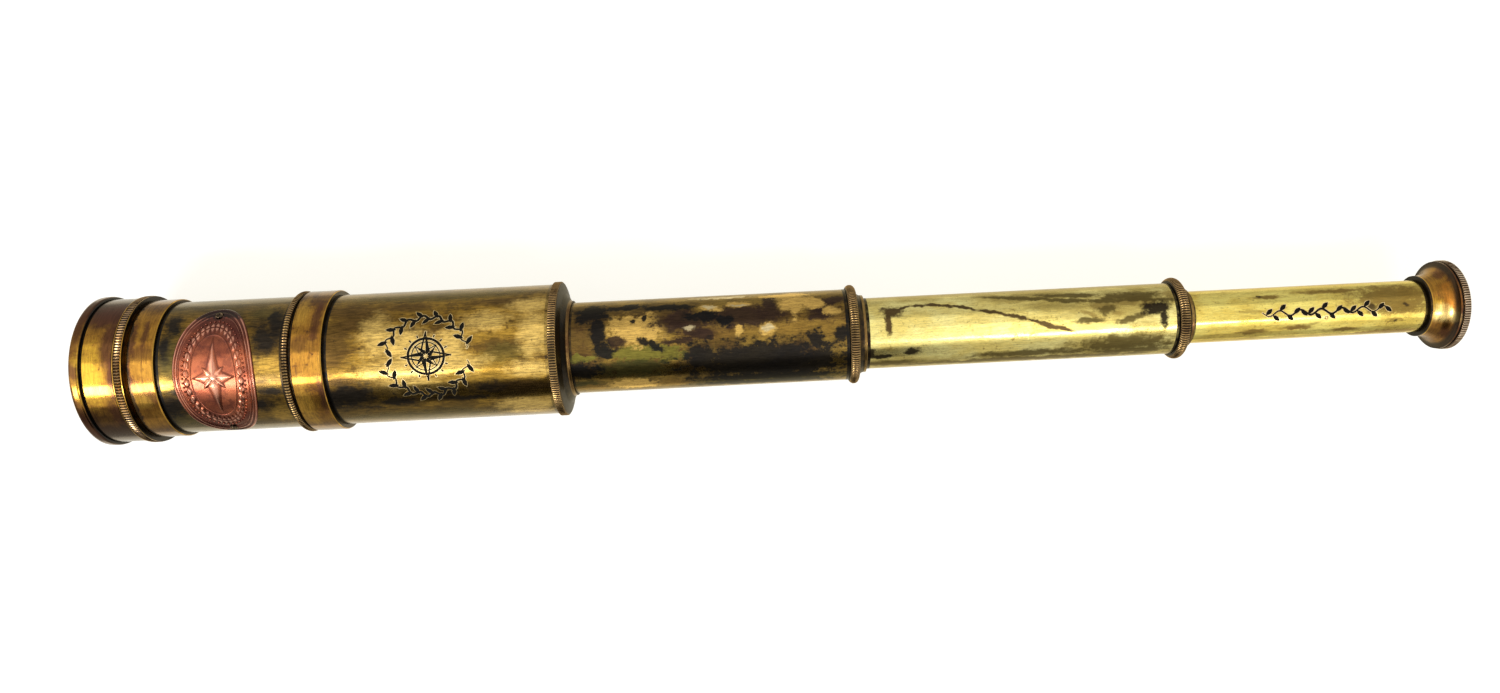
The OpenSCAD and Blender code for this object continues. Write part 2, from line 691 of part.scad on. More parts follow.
module eye_lens_ring() {
    flat_x = eyepiece_x1 - cell_seat_len + small_lens_seat + face_gap / 2;
    color(dark) lens_ring(flat_x, 1);
}

// The flared cup that the eye rests in, screwed on the third draw
module eyecup() {
    bore = draw_3_r + seat_fit;
    bell_x0 = eyecup_x0 + eyecup_neck_len;
    rim_x0 = eyecup_x1 - eyecup_rim_len;
    groove_x0 = rim_x0 - eyecup_groove;
    bell_x1 = groove_x0 - eyecup_edge_len;
    bell_len = bell_x1 - bell_x0;
    edge_r = eyecup_rim_r - chamfer;
    bell = [for (i = [0:12]) let (a = 90 * i / 12)
        [eyecup_neck_r + (edge_r - eyecup_neck_r) * (1 - cos(a)), bell_x0 + bell_len * sin(a)]];
    color(amber) turned(concat(
        [[bore, eyecup_x0], [eyecup_neck_r, eyecup_x0]],
        bell,
        [[edge_r, groove_x0], [edge_r - chamfer, groove_x0], [edge_r - chamfer, rim_x0],
         [eyecup_rim_r - chamfer, rim_x0], [eyecup_rim_r, rim_x0 + chamfer],
         [eyecup_rim_r, eyecup_x1 - chamfer], [eyecup_rim_r - chamfer, eyecup_x1],
         [eyecup_rim_r - eyecup_lip, eyecup_x1], [eyecup_floor_r, eyecup_floor_x],
         [eye_hole_r, eyecup_floor_x], [eye_hole_r, eyecup_seat_x], [bore, eyecup_seat_x]]));
}

dust_cap();
objective_cell();
objective_crown_lens();
objective_flint_lens();
objective_retaining_ring();
front_tube();
badge_plate();
badge_rivets();
front_coupling();
collar_band();
barrel_tube();
barrel_end_bush();
barrel_guide_sleeve();
draw_tube_1();
draw_1_stop_ring();
draw_1_light_stop();
draw_1_end_bush();
draw_1_guide_sleeve();
draw_tube_2();
draw_2_stop_ring();
draw_2_end_bush();
draw_2_guide_sleeve();
draw_tube_3();
draw_3_stop_ring();
erector_tube();
erector_front_lens();
erector_rear_lens();
erector_light_stop();
erector_retaining_rings();
eyepiece_tube();
field_lens();
field_lens_ring();
field_stop();
eye_lens();
eye_lens_ring();
eyecup();
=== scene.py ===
# %% [markdown]
# # A brass spyglass with three draws
# The tubes, lenses and sleeves come from the part's drawing and already have the right shape,
# so they only get a finish here. What the drawing leaves plain is made again in this lesson:
# the cap, the eyecup, the knurled rings, the embossed badge and the marks cut into the brass.
# Lengths are written in millimetres, as on the drawing, and turned into metres when a mesh is made.

# %% The frame
from math import atan2, cos, hypot, pi, radians, sin, sqrt

import bmesh
import bpy
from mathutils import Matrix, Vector


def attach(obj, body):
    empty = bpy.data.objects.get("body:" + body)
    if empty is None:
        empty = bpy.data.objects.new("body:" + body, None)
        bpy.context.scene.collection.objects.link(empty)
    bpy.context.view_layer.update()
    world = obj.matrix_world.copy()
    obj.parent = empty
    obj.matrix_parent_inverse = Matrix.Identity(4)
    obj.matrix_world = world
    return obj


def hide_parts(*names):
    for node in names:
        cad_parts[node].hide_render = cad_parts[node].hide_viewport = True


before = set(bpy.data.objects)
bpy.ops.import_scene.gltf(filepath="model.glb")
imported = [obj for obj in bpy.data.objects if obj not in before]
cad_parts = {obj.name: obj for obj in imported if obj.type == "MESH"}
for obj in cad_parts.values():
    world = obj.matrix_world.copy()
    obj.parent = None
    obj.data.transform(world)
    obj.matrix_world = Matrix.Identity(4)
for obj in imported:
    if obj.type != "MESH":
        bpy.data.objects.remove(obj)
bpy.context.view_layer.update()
MM = 0.001
scene = bpy.context.scene

# %% [markdown]
# ## The camera
# The photograph looks straight down on the spyglass from about 39 cm. The ends of the rings on
# the left show their right faces and those on the right their left faces, so the lens stood over
# the thickest draw tube. The spyglass rises a little to the right, which the camera's roll gives.

# %% The camera
PHOTO_WIDTH = 1500
FOCAL_PIXELS = 1130
SENSOR_WIDTH = 36
CAMERA_PLACE = (143.4, -2.5, 387.6)
CAMERA_ROLL = -2.86
camera_data = bpy.data.cameras.new("camera")
camera_data.sensor_width = SENSOR_WIDTH
camera_data.lens = FOCAL_PIXELS / PHOTO_WIDTH * SENSOR_WIDTH
camera_data.clip_start = 0.01
camera = bpy.data.objects.new("camera", camera_data)
camera.location = Vector(CAMERA_PLACE) * MM
camera.rotation_euler = (0, 0, radians(CAMERA_ROLL))
scene.collection.objects.link(camera)
scene.camera = camera
scene.view_settings.view_transform = "Standard"
print("lens:", round(camera_data.lens, 1), "mm")

# %% [markdown]
# ## Sums that make nodes
# A finish is mostly arithmetic on positions and noise. Wiring each Math node by hand hides the
# sum, so a small class wraps a socket and lets Python's operators add the nodes. One function
# makes every other node: its settings go first, because some of them change its sockets.

# %% Sockets in Python sums
def add(tree, kind, settings, inputs):
    """Adds a node to a tree and returns it."""
    made = tree.nodes.new(kind)
    for name, value in settings.items():
        setattr(made, name, value)
    for name, value in inputs.items():
        if isinstance(value, Wire):
            tree.links.new(value.socket, made.inputs[name])
        else:
            made.inputs[name].default_value = value
    return made


def wire(tree, kind, settings, inputs, output=0):
    """Adds a node and returns one of its outputs."""
    return Wire(tree, add(tree, kind, settings, inputs).outputs[output])


class Wire:
    """A node's output that takes part in Python sums."""

    def __init__(self, tree, socket):
        self.tree = tree
        self.socket = socket

    def math(self, operation, *others, last=False):
        """A Math node on this wire and the others; last says that this one comes after them."""
        values = (*others, self) if last else (self, *others)
        return wire(self.tree, "ShaderNodeMath", {"operation": operation}, dict(enumerate(values)))

    def __abs__(self):
        return self.math("ABSOLUTE")

    def between(self, low, high):
        """0 below low, 1 above high, and a soft step between them; low may be the larger one."""
        return wire(self.tree, "ShaderNodeMapRange", {"interpolation_type": "SMOOTHSTEP"}, {
            "Value": self, "From Min": low, "From Max": high})

    def parts(self):
        """The x, y and z of a vector."""
        split = add(self.tree, "ShaderNodeSeparateXYZ", {}, {0: self})
        return [Wire(self.tree, socket) for socket in split.outputs]


for word, operation in {"add": "ADD", "sub": "SUBTRACT", "mul": "MULTIPLY", "truediv": "DIVIDE"}.items():
    setattr(Wire, f"__{word}__", lambda self, other, kind=operation: self.math(kind, other))
    setattr(Wire, f"__r{word}__", lambda self, other, kind=operation: self.math(kind, other, last=True))
print("operators ready")

# %% [markdown]
# ## The light and the floor
# Polished brass shows its surroundings more than itself, so the room is what makes it look like
# metal. The tubes show a warm white ground, bright strips over their lower side and a dark band
# between. Here the ground is a floor that camera and metal both see as white, and grey, dark and
# bright cards stand in for what lies further off. The lamps are six soft boxes in one line, with
# a gap over the middle of the spyglass.
# Only reflections see the cards, as with the black cards that product photographers use.

# %% The white world and the floor
def use_nodes(data):
    """Empties a material's or a world's tree and returns it."""
    data.use_nodes = True
    data.node_tree.nodes.clear()
    return data.node_tree


def seen_by_eye_and_metal(tree):
    """1 for what the camera, a reflection or a lens looks at, and 0 for light on the object."""
    path = add(tree, "ShaderNodeLightPath", {}, {})
    eye, gloss, glass = (Wire(tree, path.outputs[name]) for name in (
        "Is Camera Ray", "Is Glossy Ray", "Is Transmission Ray"))
    return eye.math("MAXIMUM", gloss).math("MAXIMUM", glass)


ROOM_LIGHT = 0.55
world = bpy.data.worlds.new("studio")
scene.world = world
tree = use_nodes(world)
strength = ROOM_LIGHT + seen_by_eye_and_metal(tree) * (1 - ROOM_LIGHT)
background = wire(tree, "ShaderNodeBackground", {}, {"Color": (1, 1, 1, 1), "Strength": strength})
add(tree, "ShaderNodeOutputWorld", {}, {"Surface": background})


def flat_sheet(name, corners, material):
    """A four-cornered sheet, given by its corners in millimetres."""
    mesh = bpy.data.meshes.new(name)
    mesh.from_pydata([Vector(corner) * MM for corner in corners], [], [(0, 1, 2, 3)])
    mesh.materials.append(material)
    sheet = bpy.data.objects.new(name, mesh)
    scene.collection.objects.link(sheet)
    return sheet


FLOOR_Z = -25.45
FAR = 6000
FLOOR_GLOW = 0.86
paper = bpy.data.materials.new("paper")
tree = use_nodes(paper)
dull = wire(tree, "ShaderNodeBsdfDiffuse", {}, {"Color": (0.36, 0.385, 0.44, 1)})
glow = wire(tree, "ShaderNodeEmission", {}, {
    "Color": (1, 0.968, 0.86, 1), "Strength": seen_by_eye_and_metal(tree) * FLOOR_GLOW})
both = wire(tree, "ShaderNodeAddShader", {}, {0: dull, 1: glow})
add(tree, "ShaderNodeOutputMaterial", {}, {"Surface": both})
flat_sheet("floor", [(x, y, FLOOR_Z) for x, y in ((-FAR, -FAR), (FAR, -FAR), (FAR, FAR), (-FAR, FAR))], paper)
print("floor at", FLOOR_Z, "mm")

# %% The cards that only metal sees
def card(name, near, far, brightness, start, end):
    """A long card between two lines beside the spyglass, each given as (y, z), from x to x."""
    shade = bpy.data.materials.new(name)
    tree = use_nodes(shade)
    glow = wire(tree, "ShaderNodeEmission", {}, {"Color": (brightness,) * 3 + (1,), "Strength": 1})
    add(tree, "ShaderNodeOutputMaterial", {}, {"Surface": glow})
    sheet = flat_sheet(name, [(start, *near), (end, *near), (end, *far), (start, *far)], shade)
    for sense in ("visible_camera", "visible_diffuse", "visible_transmission", "visible_shadow"):
        setattr(sheet, sense, False)


def toward(degrees, distance):
    """The (y, z) of a line seen from the axis at an angle from straight up towards -Y."""
    return -distance * sin(radians(degrees)), distance * cos(radians(degrees))


LEFT, DIM_END, LEFT_END, DARK_END, FAR_START, RIGHT = -1900, -330, -215, 285, 500, 2200
CARD, SHEET, WINDOW = 600, 590, 830
LOW = toward(88, CARD)
cards = {
    "dim_card": (LOW, toward(57, CARD), 0.28, LEFT, DIM_END),
    "middle_card": (LOW, toward(57, CARD), 0.45, DIM_END, LEFT_END),
    "dark_card": (LOW, toward(50, CARD), 0.04, LEFT_END, DARK_END),
    "grey_card": (LOW, toward(46, CARD), 0.6, DARK_END, FAR_START),
    "light_card": (LOW, toward(46, CARD), 0.88, FAR_START, RIGHT),
    "far_window": (toward(60, SHEET), toward(36, SHEET), 1.5, FAR_START, 1000),
    "far_paper": ((-57, -24.8), toward(87.5, CARD), 0.5, LEFT, RIGHT),
    "back_card": ((57, -24.8), toward(-44, CARD), 0.6, LEFT, RIGHT),
    "back_paper": (toward(-84, SHEET), toward(-28, SHEET), 1.05, 250, 400),
    "window": (toward(-14, WINDOW), toward(27, WINDOW), 2.1, LEFT, -270),
    "skylight": (toward(-10, WINDOW), toward(22, WINDOW), 2.2, 372, 525),
}
for name, place in cards.items():
    card(name, *place)
print(len(cards), "cards")

# %% The lamps
LAMP_LEAN = 30.5
LAMP_DISTANCE = 800


def soft_box(name, start, end, width, radiance):
    """A long lamp from x to x over the spyglass's lower side; radiance is against the world's 1."""
    data = bpy.data.lights.new(name, "AREA")
    data.shape = "RECTANGLE"
    data.size = (end - start) * MM
    data.size_y = width * MM
    data.energy = radiance * pi * data.size * data.size_y
    lamp = bpy.data.objects.new(name, data)
    lamp.location = Vector(((start + end) / 2, *toward(LAMP_LEAN, LAMP_DISTANCE))) * MM
    lamp.rotation_euler = (radians(LAMP_LEAN), 0, 0)
    lamp.visible_camera = False
    scene.collection.objects.link(lamp)
    print(name, round(data.energy, 2), "W")


for name, *values in (
        ("near_lamp", -800, -370, 190, 18), ("collar_lamp", -370, -250, 150, 6),
        ("barrel_lamp", -250, -120, 80, 3), ("neck_lamp", 235, 298, 60, 2.0),
        ("far_lamp", 370, 700, 100, 9), ("end_lamp", 700, 1000, 110, 0.8)):
    soft_box(name, *values)

# %% [markdown]
# ## What old brass looks like
# Brass that has been handled and put away wet is never one colour. It is bright where fingers
# rub it, warm where lacquer has aged, brown along the tube where it was wiped, and nearly black
# where damp stayed, often with a darker line round the stain. A finish here starts from a bright
# tone and lays those over each other, each with its own pattern in the object's own millimetres.
# Metal also turns paler where it is seen at a grazing angle, less so under a yellow tarnish.

# %% A finish in the making
EDGE_TINT = (0.90, 0.82, 0.64, 1)
PALE_EDGE = (0.97, 0.92, 0.80, 1)
COAT_ROUGHNESS = 0.22


class Finish:
    """A finish in the making: its tree, its places in millimetres and its patterns."""

    def __init__(self, name, radius):
        self.material = bpy.data.materials.new(name)
        self.tree = use_nodes(self.material)
        self.radius = radius
        self.place = self.scaled(self.coordinate("Object"), 1 / MM)
        self.x, self.y, self.z = self.place.parts()
        self.arc = (self.y * -1).math("ARCTAN2", self.z) * radius

    def coordinate(self, name):
        """One of the texture coordinates."""
        return wire(self.tree, "ShaderNodeTexCoord", {}, {}, name)

    def attribute(self, name):
        """A value that the mesh carries."""
        return wire(self.tree, "ShaderNodeAttribute", {"attribute_name": name}, {}, "Fac")

    def noise(self, stretch, detail=3, roughness=0.55, shift=0):
        """Noise from 0 to 1; stretch is the features per millimetre, all ways or along x, y and z."""
        stretch = stretch if isinstance(stretch, tuple) else (stretch,) * 3
        moved = wire(self.tree, "ShaderNodeVectorMath", {"operation": "MULTIPLY_ADD"}, {
            0: self.place, 1: stretch, 2: (shift, shift * 0.7, shift * 1.3)})
        return wire(self.tree, "ShaderNodeTexNoise", {}, {
            "Vector": moved, "Scale": 1, "Detail": detail, "Roughness": roughness})

    def blend(self, mask, under, over):
        """The colour over, laid on the colour under where the mask is 1."""
        under, over = (tone if isinstance(tone, Wire) else (*tone, 1) for tone in (under, over))
        return wire(self.tree, "ShaderNodeMix", {"data_type": "RGBA"}, {0: mask, 6: under, 7: over}, 2)

    def scaled(self, vector, factor):
        """The vector or colour, times the factor."""
        return wire(self.tree, "ShaderNodeVectorMath", {"operation": "SCALE"}, {0: vector, "Scale": factor})

    def bend(self, reach, fineness, shift=0):
        """Places that wander by up to reach millimetres, so that a stain's edge isn't an ellipse."""
        along = self.x + (self.noise(fineness, 3, 0.6, shift + 3) - 0.5) * (2 * reach)
        around = self.arc + (self.noise(fineness, 3, 0.6, shift + 17) - 0.5) * (2 * reach)
        return along, around

    def stains(self, spots, bent):
        """How far each place is into the nearest stain: under 1 inside it, over 1 outside.
        A spot is x, the angle from the top towards -Y, its half sizes and perhaps its turn."""
        along, around = bent
        nearest = None
        for spot in spots:
            x, degrees, half_x, half_arc, turn = (*spot, 0)[:5]
            dx = along - x
            da = around - radians(degrees) * self.radius
            c, s = cos(radians(turn)), sin(radians(turn))
            u = (dx * c + da * s) / half_x
            v = (da * c - dx * s) / half_arc
            depth = u * u + v * v
            nearest = depth if nearest is None else nearest.math("MINIMUM", depth)
        return nearest.math("SQRT")

    def metal(self, colour, roughness, height, metallic=1.0, specular=0.5, grazing=EDGE_TINT, coat=0.0):
        """Closes the finish with its colour, its roughness and a height in millimetres."""
        normal = wire(self.tree, "ShaderNodeBump", {}, {"Height": height, "Distance": MM, "Strength": 1.0})
        shader = wire(self.tree, "ShaderNodeBsdfPrincipled", {}, {
            "Base Color": colour, "Roughness": roughness, "Metallic": metallic, "Normal": normal,
            "Specular IOR Level": specular, "Specular Tint": grazing, "Coat Weight": coat,
            "Coat Roughness": COAT_ROUGHNESS})
        add(self.tree, "ShaderNodeOutputMaterial", {}, {"Surface": shader})
        return self.material


print("finishes can start")

# %% [markdown]
# ## Aged brass
# Every brass piece here has the same history, so one function makes them all: a bright and a warm
# tone, brown mottles, streaks that follow the wiping (along a tube, round a turned piece), darker
# sides painted as shade, and then the stains, laid on in order like thin paint. A stain is a list
# of soft ellipses, placed one by one where this spyglass has them, and noise tears their edges. Dirt
# fills the grooves, and the end faces get painted shade. Dark places are also duller, which a plain
# colour misses.
# An angle has no meaning near the axis, so what follows the angle fades out on a turned end face,
# and there the streaks follow the turner's tool. A trace of clear lacquer lies over everything.
# The heights of swells, scratches, specks and patches are in millimetres, like all lengths.

# %% A line of stains
def trail(points, half_width, radius):
    """Overlapping spots along a line of (x, degrees) on a tube."""
    spots = []
    for (x0, a0), (x1, a1) in zip(points, points[1:]):
        rise = radians(a1 - a0) * radius
        spots.append(((x0 + x1) / 2, (a0 + a1) / 2, 0.75 * hypot(x1 - x0, rise), half_width,
                      atan2(rise, x1 - x0) * 180 / pi))
    return spots


print("trail of", len(trail([(0, 0), (1, 0), (2, 0)], 1, 1)), "spots works")

# %% One finish for all the brass
DULLNESS = {"black": 0.9, "brown": 0.5, "purple": 0.35, "olive": 0.9, "green": 0.8, "dusk": 0.3}
BRIGHT_DULLNESS = 0.05
MOTTLE_COVER, STREAK_COVER, SCRATCH_COVER, DIRT_AND_SHADE_COVER = 0.75, 0.88, 0.4, 0.9
SWELL, SCRATCH, SPECKLE, PATCH, WORN = 0.14, 0.0018, 0.003, 0.006, -0.004
DULL_ROUGHNESS, COAT = 0.24, 0.1
EYE_END, MIDDLE = 367, 166
SOFT = 0.08


def aged_brass(name, radius, tones, layers=(), rings=(), turned=False, knurled=False, mottles=0.4,
               streaks=0.3, sides=0.5, rim=(30, 62), shine=0.2, wander=(1.4, 0.22), grain=0.5, shift=0,
               grazing=EDGE_TINT):
    """tones are colours by name; mottles and streaks say how far the brown covers the brass, and sides
    how far the side tone, a painted shade, covers the sides, all from 0 to 1. A layer is a tone, its
    edge's softness, its cover and then its spots; a ring is a band from x to x with a tone and a cover.
    The painted side shade lies between the two angles in rim."""
    f = Finish(name, radius)
    from_axis = (f.y * f.y + f.z * f.z).math("SQRT")
    facing = f.coordinate("Normal").parts()[0]
    if turned:
        along_profile = f.x + from_axis - radius
        f.place = wire(f.tree, "ShaderNodeCombineXYZ", {}, {0: along_profile, 1: f.y, 2: f.z})
    cloud = f.noise((0.06, 0.10, 0.10), 4, 0.6, shift)
    patch = f.noise((0.24, 0.34, 0.34), 4, 0.65, shift + 11)
    speckle = f.noise(1.1, 3, 0.65, shift + 23)
    wiped = f.noise((0.5, 0.02, 0.02) if turned else (0.035, 0.6, 0.6), 5, 0.68, shift + 5)
    scratches = f.noise((6, 0.06, 0.06) if turned else (0.28, 5, 5), 2, 0.6, shift + 53)
    colour = f.blend(cloud.between(0.38, 0.62), tones["bright"], tones["warm"])
    mottled = cloud * 0.45 + patch * 0.55 + (speckle - 0.5) * 0.2
    mottled = mottled.between(0.68 - 0.28 * mottles, 0.77 - 0.28 * mottles)
    colour = f.blend(mottled * MOTTLE_COVER, colour, tones["brown"])
    streaky = wiped + (cloud - 0.5) * 0.5 + (scratches - 0.5) * 0.2
    streaky = streaky.between(0.74 - 0.32 * streaks, 0.86 - 0.32 * streaks)
    colour = f.blend(streaky * STREAK_COVER, colour, tones["brown"])
    scratched = (scratches + (speckle - 0.5) * 0.5).between(0.5, 0.68)
    colour = f.blend(scratched * SCRATCH_COVER, colour, tones["brown"])
    round_side = 1 - abs(facing).between(0.7, 0.9) * (from_axis * (1 / radius)).between(0.92, 0.82)
    # Painted shade: the sides of a tube, away from the top, take the darker side tone.
    away = abs(f.arc) * (1 / radius) + (cloud - 0.5) * 0.8
    away = away.between(radians(rim[0]), radians(rim[1])) * round_side
    colour = f.blend(away * sides, colour, tones["side"])
    dull = mottled * 0.2 + away * (sides * 0.2)

    def lay(mask, tone):
        nonlocal colour, dull
        colour = f.blend(mask, colour, tones[tone])
        dull = dull * (1 - mask) + mask * DULLNESS.get(tone, BRIGHT_DULLNESS)

    bent = f.bend(*wander, shift + 31)
    ragged = (patch - 0.5) * 2.0 + (speckle - 0.5) * 0.9
    for tone, edge, cover, *spots in layers:
        lay((f.stains(spots, bent) + ragged).between(1 + edge, 1 - edge) * round_side * cover, tone)
    colour = f.blend(speckle.between(0.64, 0.72) * 0.5, colour, tones["black"])
    fine = f.noise((2.0, 0.25, 0.25) if turned else (0.26, 1.9, 1.9), 5, 0.75, shift + 71)
    colour = f.scaled(colour, 1 + (fine.between(0.3, 0.7) - 0.5) * grain)
    for start, end, tone, cover in rings:
        band = f.x.between(start - SOFT, start + SOFT) * f.x.between(end + SOFT, end - SOFT)
        lay(band * (cover + (patch - 0.5) * 1.2).between(0.0, 1.0), tone)
    # Painted shade: end faces turned towards the middle of the spyglass get the black tone, and dirt in the
    # knurl's grooves joins it below.
    shaded_right_faces = facing.between(0.7, 0.92) * f.x.between(EYE_END + 1, EYE_END - 1)
    shaded_left_faces = (facing * -1).between(0.7, 0.92) * f.x.between(MIDDLE - 1, MIDDLE + 1)
    dirt_and_face_shade = shaded_right_faces.math("MAXIMUM", shaded_left_faces)
    if knurled:
        depth = f.attribute("groove")
        rubbed = f.attribute("ridged") * (depth + (patch - 0.5) * 1.5).between(0.45, 0.15)
        colour = f.blend(rubbed * 0.85, colour, tones["crest"])
        dirt_and_face_shade = dirt_and_face_shade.math("MAXIMUM", (depth + (speckle - 0.5) * 0.6).between(0.35, 0.65))
    colour = f.blend(dirt_and_face_shade * DIRT_AND_SHADE_COVER, colour, tones["black"])
    dull = dull.math("MAXIMUM", dirt_and_face_shade)
    roughness = shine + dull * DULL_ROUGHNESS + (scratches - 0.5) * 0.1 + (speckle - 0.5) * 0.1
    swell = f.noise((0.035, 0.09, 0.09), 2, 0.5, shift + 61)
    height = swell * SWELL + scratches * SCRATCH + speckle * SPECKLE + patch * PATCH + dull * WORN
    print(name, "with", len(layers), "layers of stains")
    return f.metal(colour, roughness, height, grazing=grazing, coat=COAT)

# %% The front tube, in dark olive
OLD_BLACK = (0.016, 0.014, 0.012)
olive_brass = aged_brass(
    "olive_brass", 22.3, dict(bright=(0.3, 0.165, 0.026), warm=(0.18, 0.1, 0.018),
        brown=(0.062, 0.038, 0.015), side=(0.105, 0.076, 0.026), black=OLD_BLACK, gold=(0.46, 0.27, 0.045),
        olive=(0.1, 0.075, 0.02)),
    mottles=0.62, streaks=0.55, sides=0.78, shine=0.14, grain=0.9, shift=2, grazing=PALE_EDGE,
    # The black rings beside the cell and the coupling are painted shade where the tube meets them.
    rings=[(-49.4, -48.1, "black", 0.9), (-9, -8, "black", 0.8)],
    layers=[
        # The gold spots are a painted glow of reflected light, next to the highlight and low on the sides.
        ("gold", 0.6, 0.72, (-13.5, 3, 3.6, 3.4), (-11.5, 11, 3, 4), (-46.8, 12, 2.4, 2.4),
            (-11.5, 52, 3.4, 4), (-12, -52, 3.4, 3)),
        ("olive", 0.6, 0.8, (-45, -8, 4, 9), (-15, -48, 5, 3), (-44, 52, 4, 3)),
        ("black", 0.6, 0.95, (-14.3, -24, 4.2, 5), (-44.8, -38, 3, 4.6), (-46.5, -18, 2, 5.5),
            (-45.5, 36, 4.8, 4.6, 8), (-17.2, 36, 3.4, 3.6, -8), (-11, -34, 3, 7.5), (-13.5, -16, 4.4, 3.2),
            (-13, 25, 5, 1.6), (-43, 22, 3, 1.6)),
        ("brown", 0.5, 0.7, (-13, 14, 5, 2.2), (-30, 100, 16, 5, 4), (-28, -118, 15, 6, -6),
            (-20, 160, 12, 7))])

# %% The barrel, cloudy, with painted glows of reflected light round the engraving
antique_brass = aged_brass(
    "antique_brass", 22.1, dict(bright=(0.44, 0.25, 0.034), warm=(0.29, 0.152, 0.02),
        brown=(0.125, 0.068, 0.017), side=(0.15, 0.096, 0.022), black=OLD_BLACK, gold=(0.84, 0.56, 0.15),
        olive=(0.13, 0.095, 0.02)),
    mottles=0.66, streaks=0.64, sides=0.66, shine=0.14, grain=0.9, shift=8, grazing=PALE_EDGE,
    # The black rings next to the collar and the flange are painted shade.
    rings=[(4.9, 6.2, "black", 0.85), (76.9, 78, "black", 0.45)],
    layers=[
        ("brown", 0.55, 0.88, (8, -14, 7, 9), (13, -29, 9, 3), (13, -44, 14, 4), (31, -46, 9, 2, 2),
            (63, -48, 11, 1.8), (10, 30, 9, 5), (62, -3, 7, 3), (26, 160, 20, 8), (60, 100, 16, 6)),
        ("olive", 0.5, 0.7, (64, 2, 9, 3.2), (40, -62, 30, 3), (34, 64, 28, 3.4), (40, -110, 18, 5, -3)),
        # The gold spots are a painted glow of reflected light, round the rose and low on the sides.
        ("gold", 0.7, 0.85, (22.3, -18, 4.8, 6.4), (34, 0, 6, 5.5), (46, -5, 5, 5.4), (47, 8, 9, 3.4),
            (73.5, -16, 4.6, 7.5), (72, 16, 7, 2.6), (58, -28, 7, 3.2), (70, 55, 9, 4.6), (30, 12, 12, 3.4),
            (31, -10, 8, 5), (31, 25, 9, 3), (72, -42, 6, 3)),
        ("black", 0.6, 0.95, (12, 36, 15, 5.2, -2), (26, 42, 9, 2, 2), (44, 33, 5, 1.8), (62, 32, 15, 2.4),
            (50, 41, 10, 1.2), (20, 118, 12, 4)),
        ("brown", 0.5, 0.8, (70, 34, 9, 2.6))])

# %% The thickest draw, with its black stains
stained_brass = aged_brass(
    "stained_brass", 15.5, dict(bright=(0.36, 0.22, 0.04), warm=(0.23, 0.13, 0.026),
        brown=(0.085, 0.045, 0.016), side=(0.15, 0.1, 0.027), black=(0.012, 0.011, 0.01),
        gold=(0.74, 0.46, 0.11), green=(0.17, 0.145, 0.024), olive=(0.055, 0.05, 0.014),
        purple=(0.04, 0.021, 0.015), amber=(0.27, 0.15, 0.028), pale=(0.66, 0.53, 0.28)),
    mottles=0.62, streaks=0.5, sides=0.5, shift=15, shine=0.15, grain=0.65, wander=(1.6, 0.34),
    # The black rings next to the bushes are painted shade.
    rings=[(83.7, 84.6, "black", 0.6), (175.4, 176.7, "black", 0.85)],
    layers=[
        ("brown", 0.45, 0.65, (89, -20, 7, 8), (90, 14, 6, 3)),
        # The green band along the highlight's angle is a painted highlight, dull and greenish.
        ("green", 0.22, 0.95, (109, 11, 14, 3.2, 2), (87, 14, 6, 1.2)),
        ("olive", 0.35, 0.9, (104, 30, 14, 3.2)),
        ("olive", 0.4, 0.85, (150, 60, 29, 2.6), (88, 54, 6, 2.4)),
        ("gold", 0.22, 0.95, (106, -19, 9.4, 5.4), (104, 58, 9, 2.8)),
        ("amber", 0.4, 0.8, (118, 59, 6, 2.2), (90, 62, 6, 1.6)),
        ("amber", 0.6, 0.6, (153, -8, 24, 3)),
        ("purple", 0.3, 0.94, (122, -27, 9.5, 4.6), (142, -31, 15, 5), (150.6, -42, 2.8, 6),
            (168, -32, 6, 3.4), (128, -10, 5, 2.2), (99, -4, 3.8, 2.2, -8), (171, -48, 5, 2),
            (120, -2, 6, 1.2)),
        ("gold", 0.35, 0.9, (159, -49, 5.6, 3.8), (156, -66, 8, 1.6), (164.5, -46, 4, 2.6),
            (130.5, -45, 3.4, 1.6, 8), (140.8, -49, 4, 1.4), (171, -32, 3, 2), (140, -11, 1.3, 2),
            (149.5, -12, 2.4, 2.2), (158.6, -41, 1.8, 4.6)),
        ("black", 0.3, 0.97, (93.4, -17, 2.5, 6.2), (95.6, 6, 3, 3.4), (91, -45, 6.4, 4.2, -10),
            (102, -53, 7, 1.4, -4), *trail([(106.6, -6), (110, -1), (114.5, 8)], 1.2, 15.5),
            (87.5, 31, 7, 3.2), (150, 68, 27, 1.8), (127, 18, 5.4, 5.2), (150, 29, 30, 7.6),
            (148, 54, 26, 2), (135.5, -25, 2.8, 2.2), (109, -34, 1, 0.9), (105.3, -29, 0.8, 0.8),
            (128, -33, 5.5, 2), (117, -50, 10, 1.6), (165.4, 5, 2.6, 4), (174, -2, 2.2, 2.6)),
        ("pale", 0.4, 0.85, (130.5, -47, 2.4, 0.8, 6), (141, -47.5, 2.8, 0.6), (123.7, -18, 1.9, 0.7),
            (134, -68, 9, 0.7), (149.5, -14, 1.6, 1.2)),
        ("brown", 0.5, 0.7, (110, 96, 16, 4, 4), (150, 110, 14, 5), (130, -112, 20, 5, -3),
            (120, 170, 22, 5))])

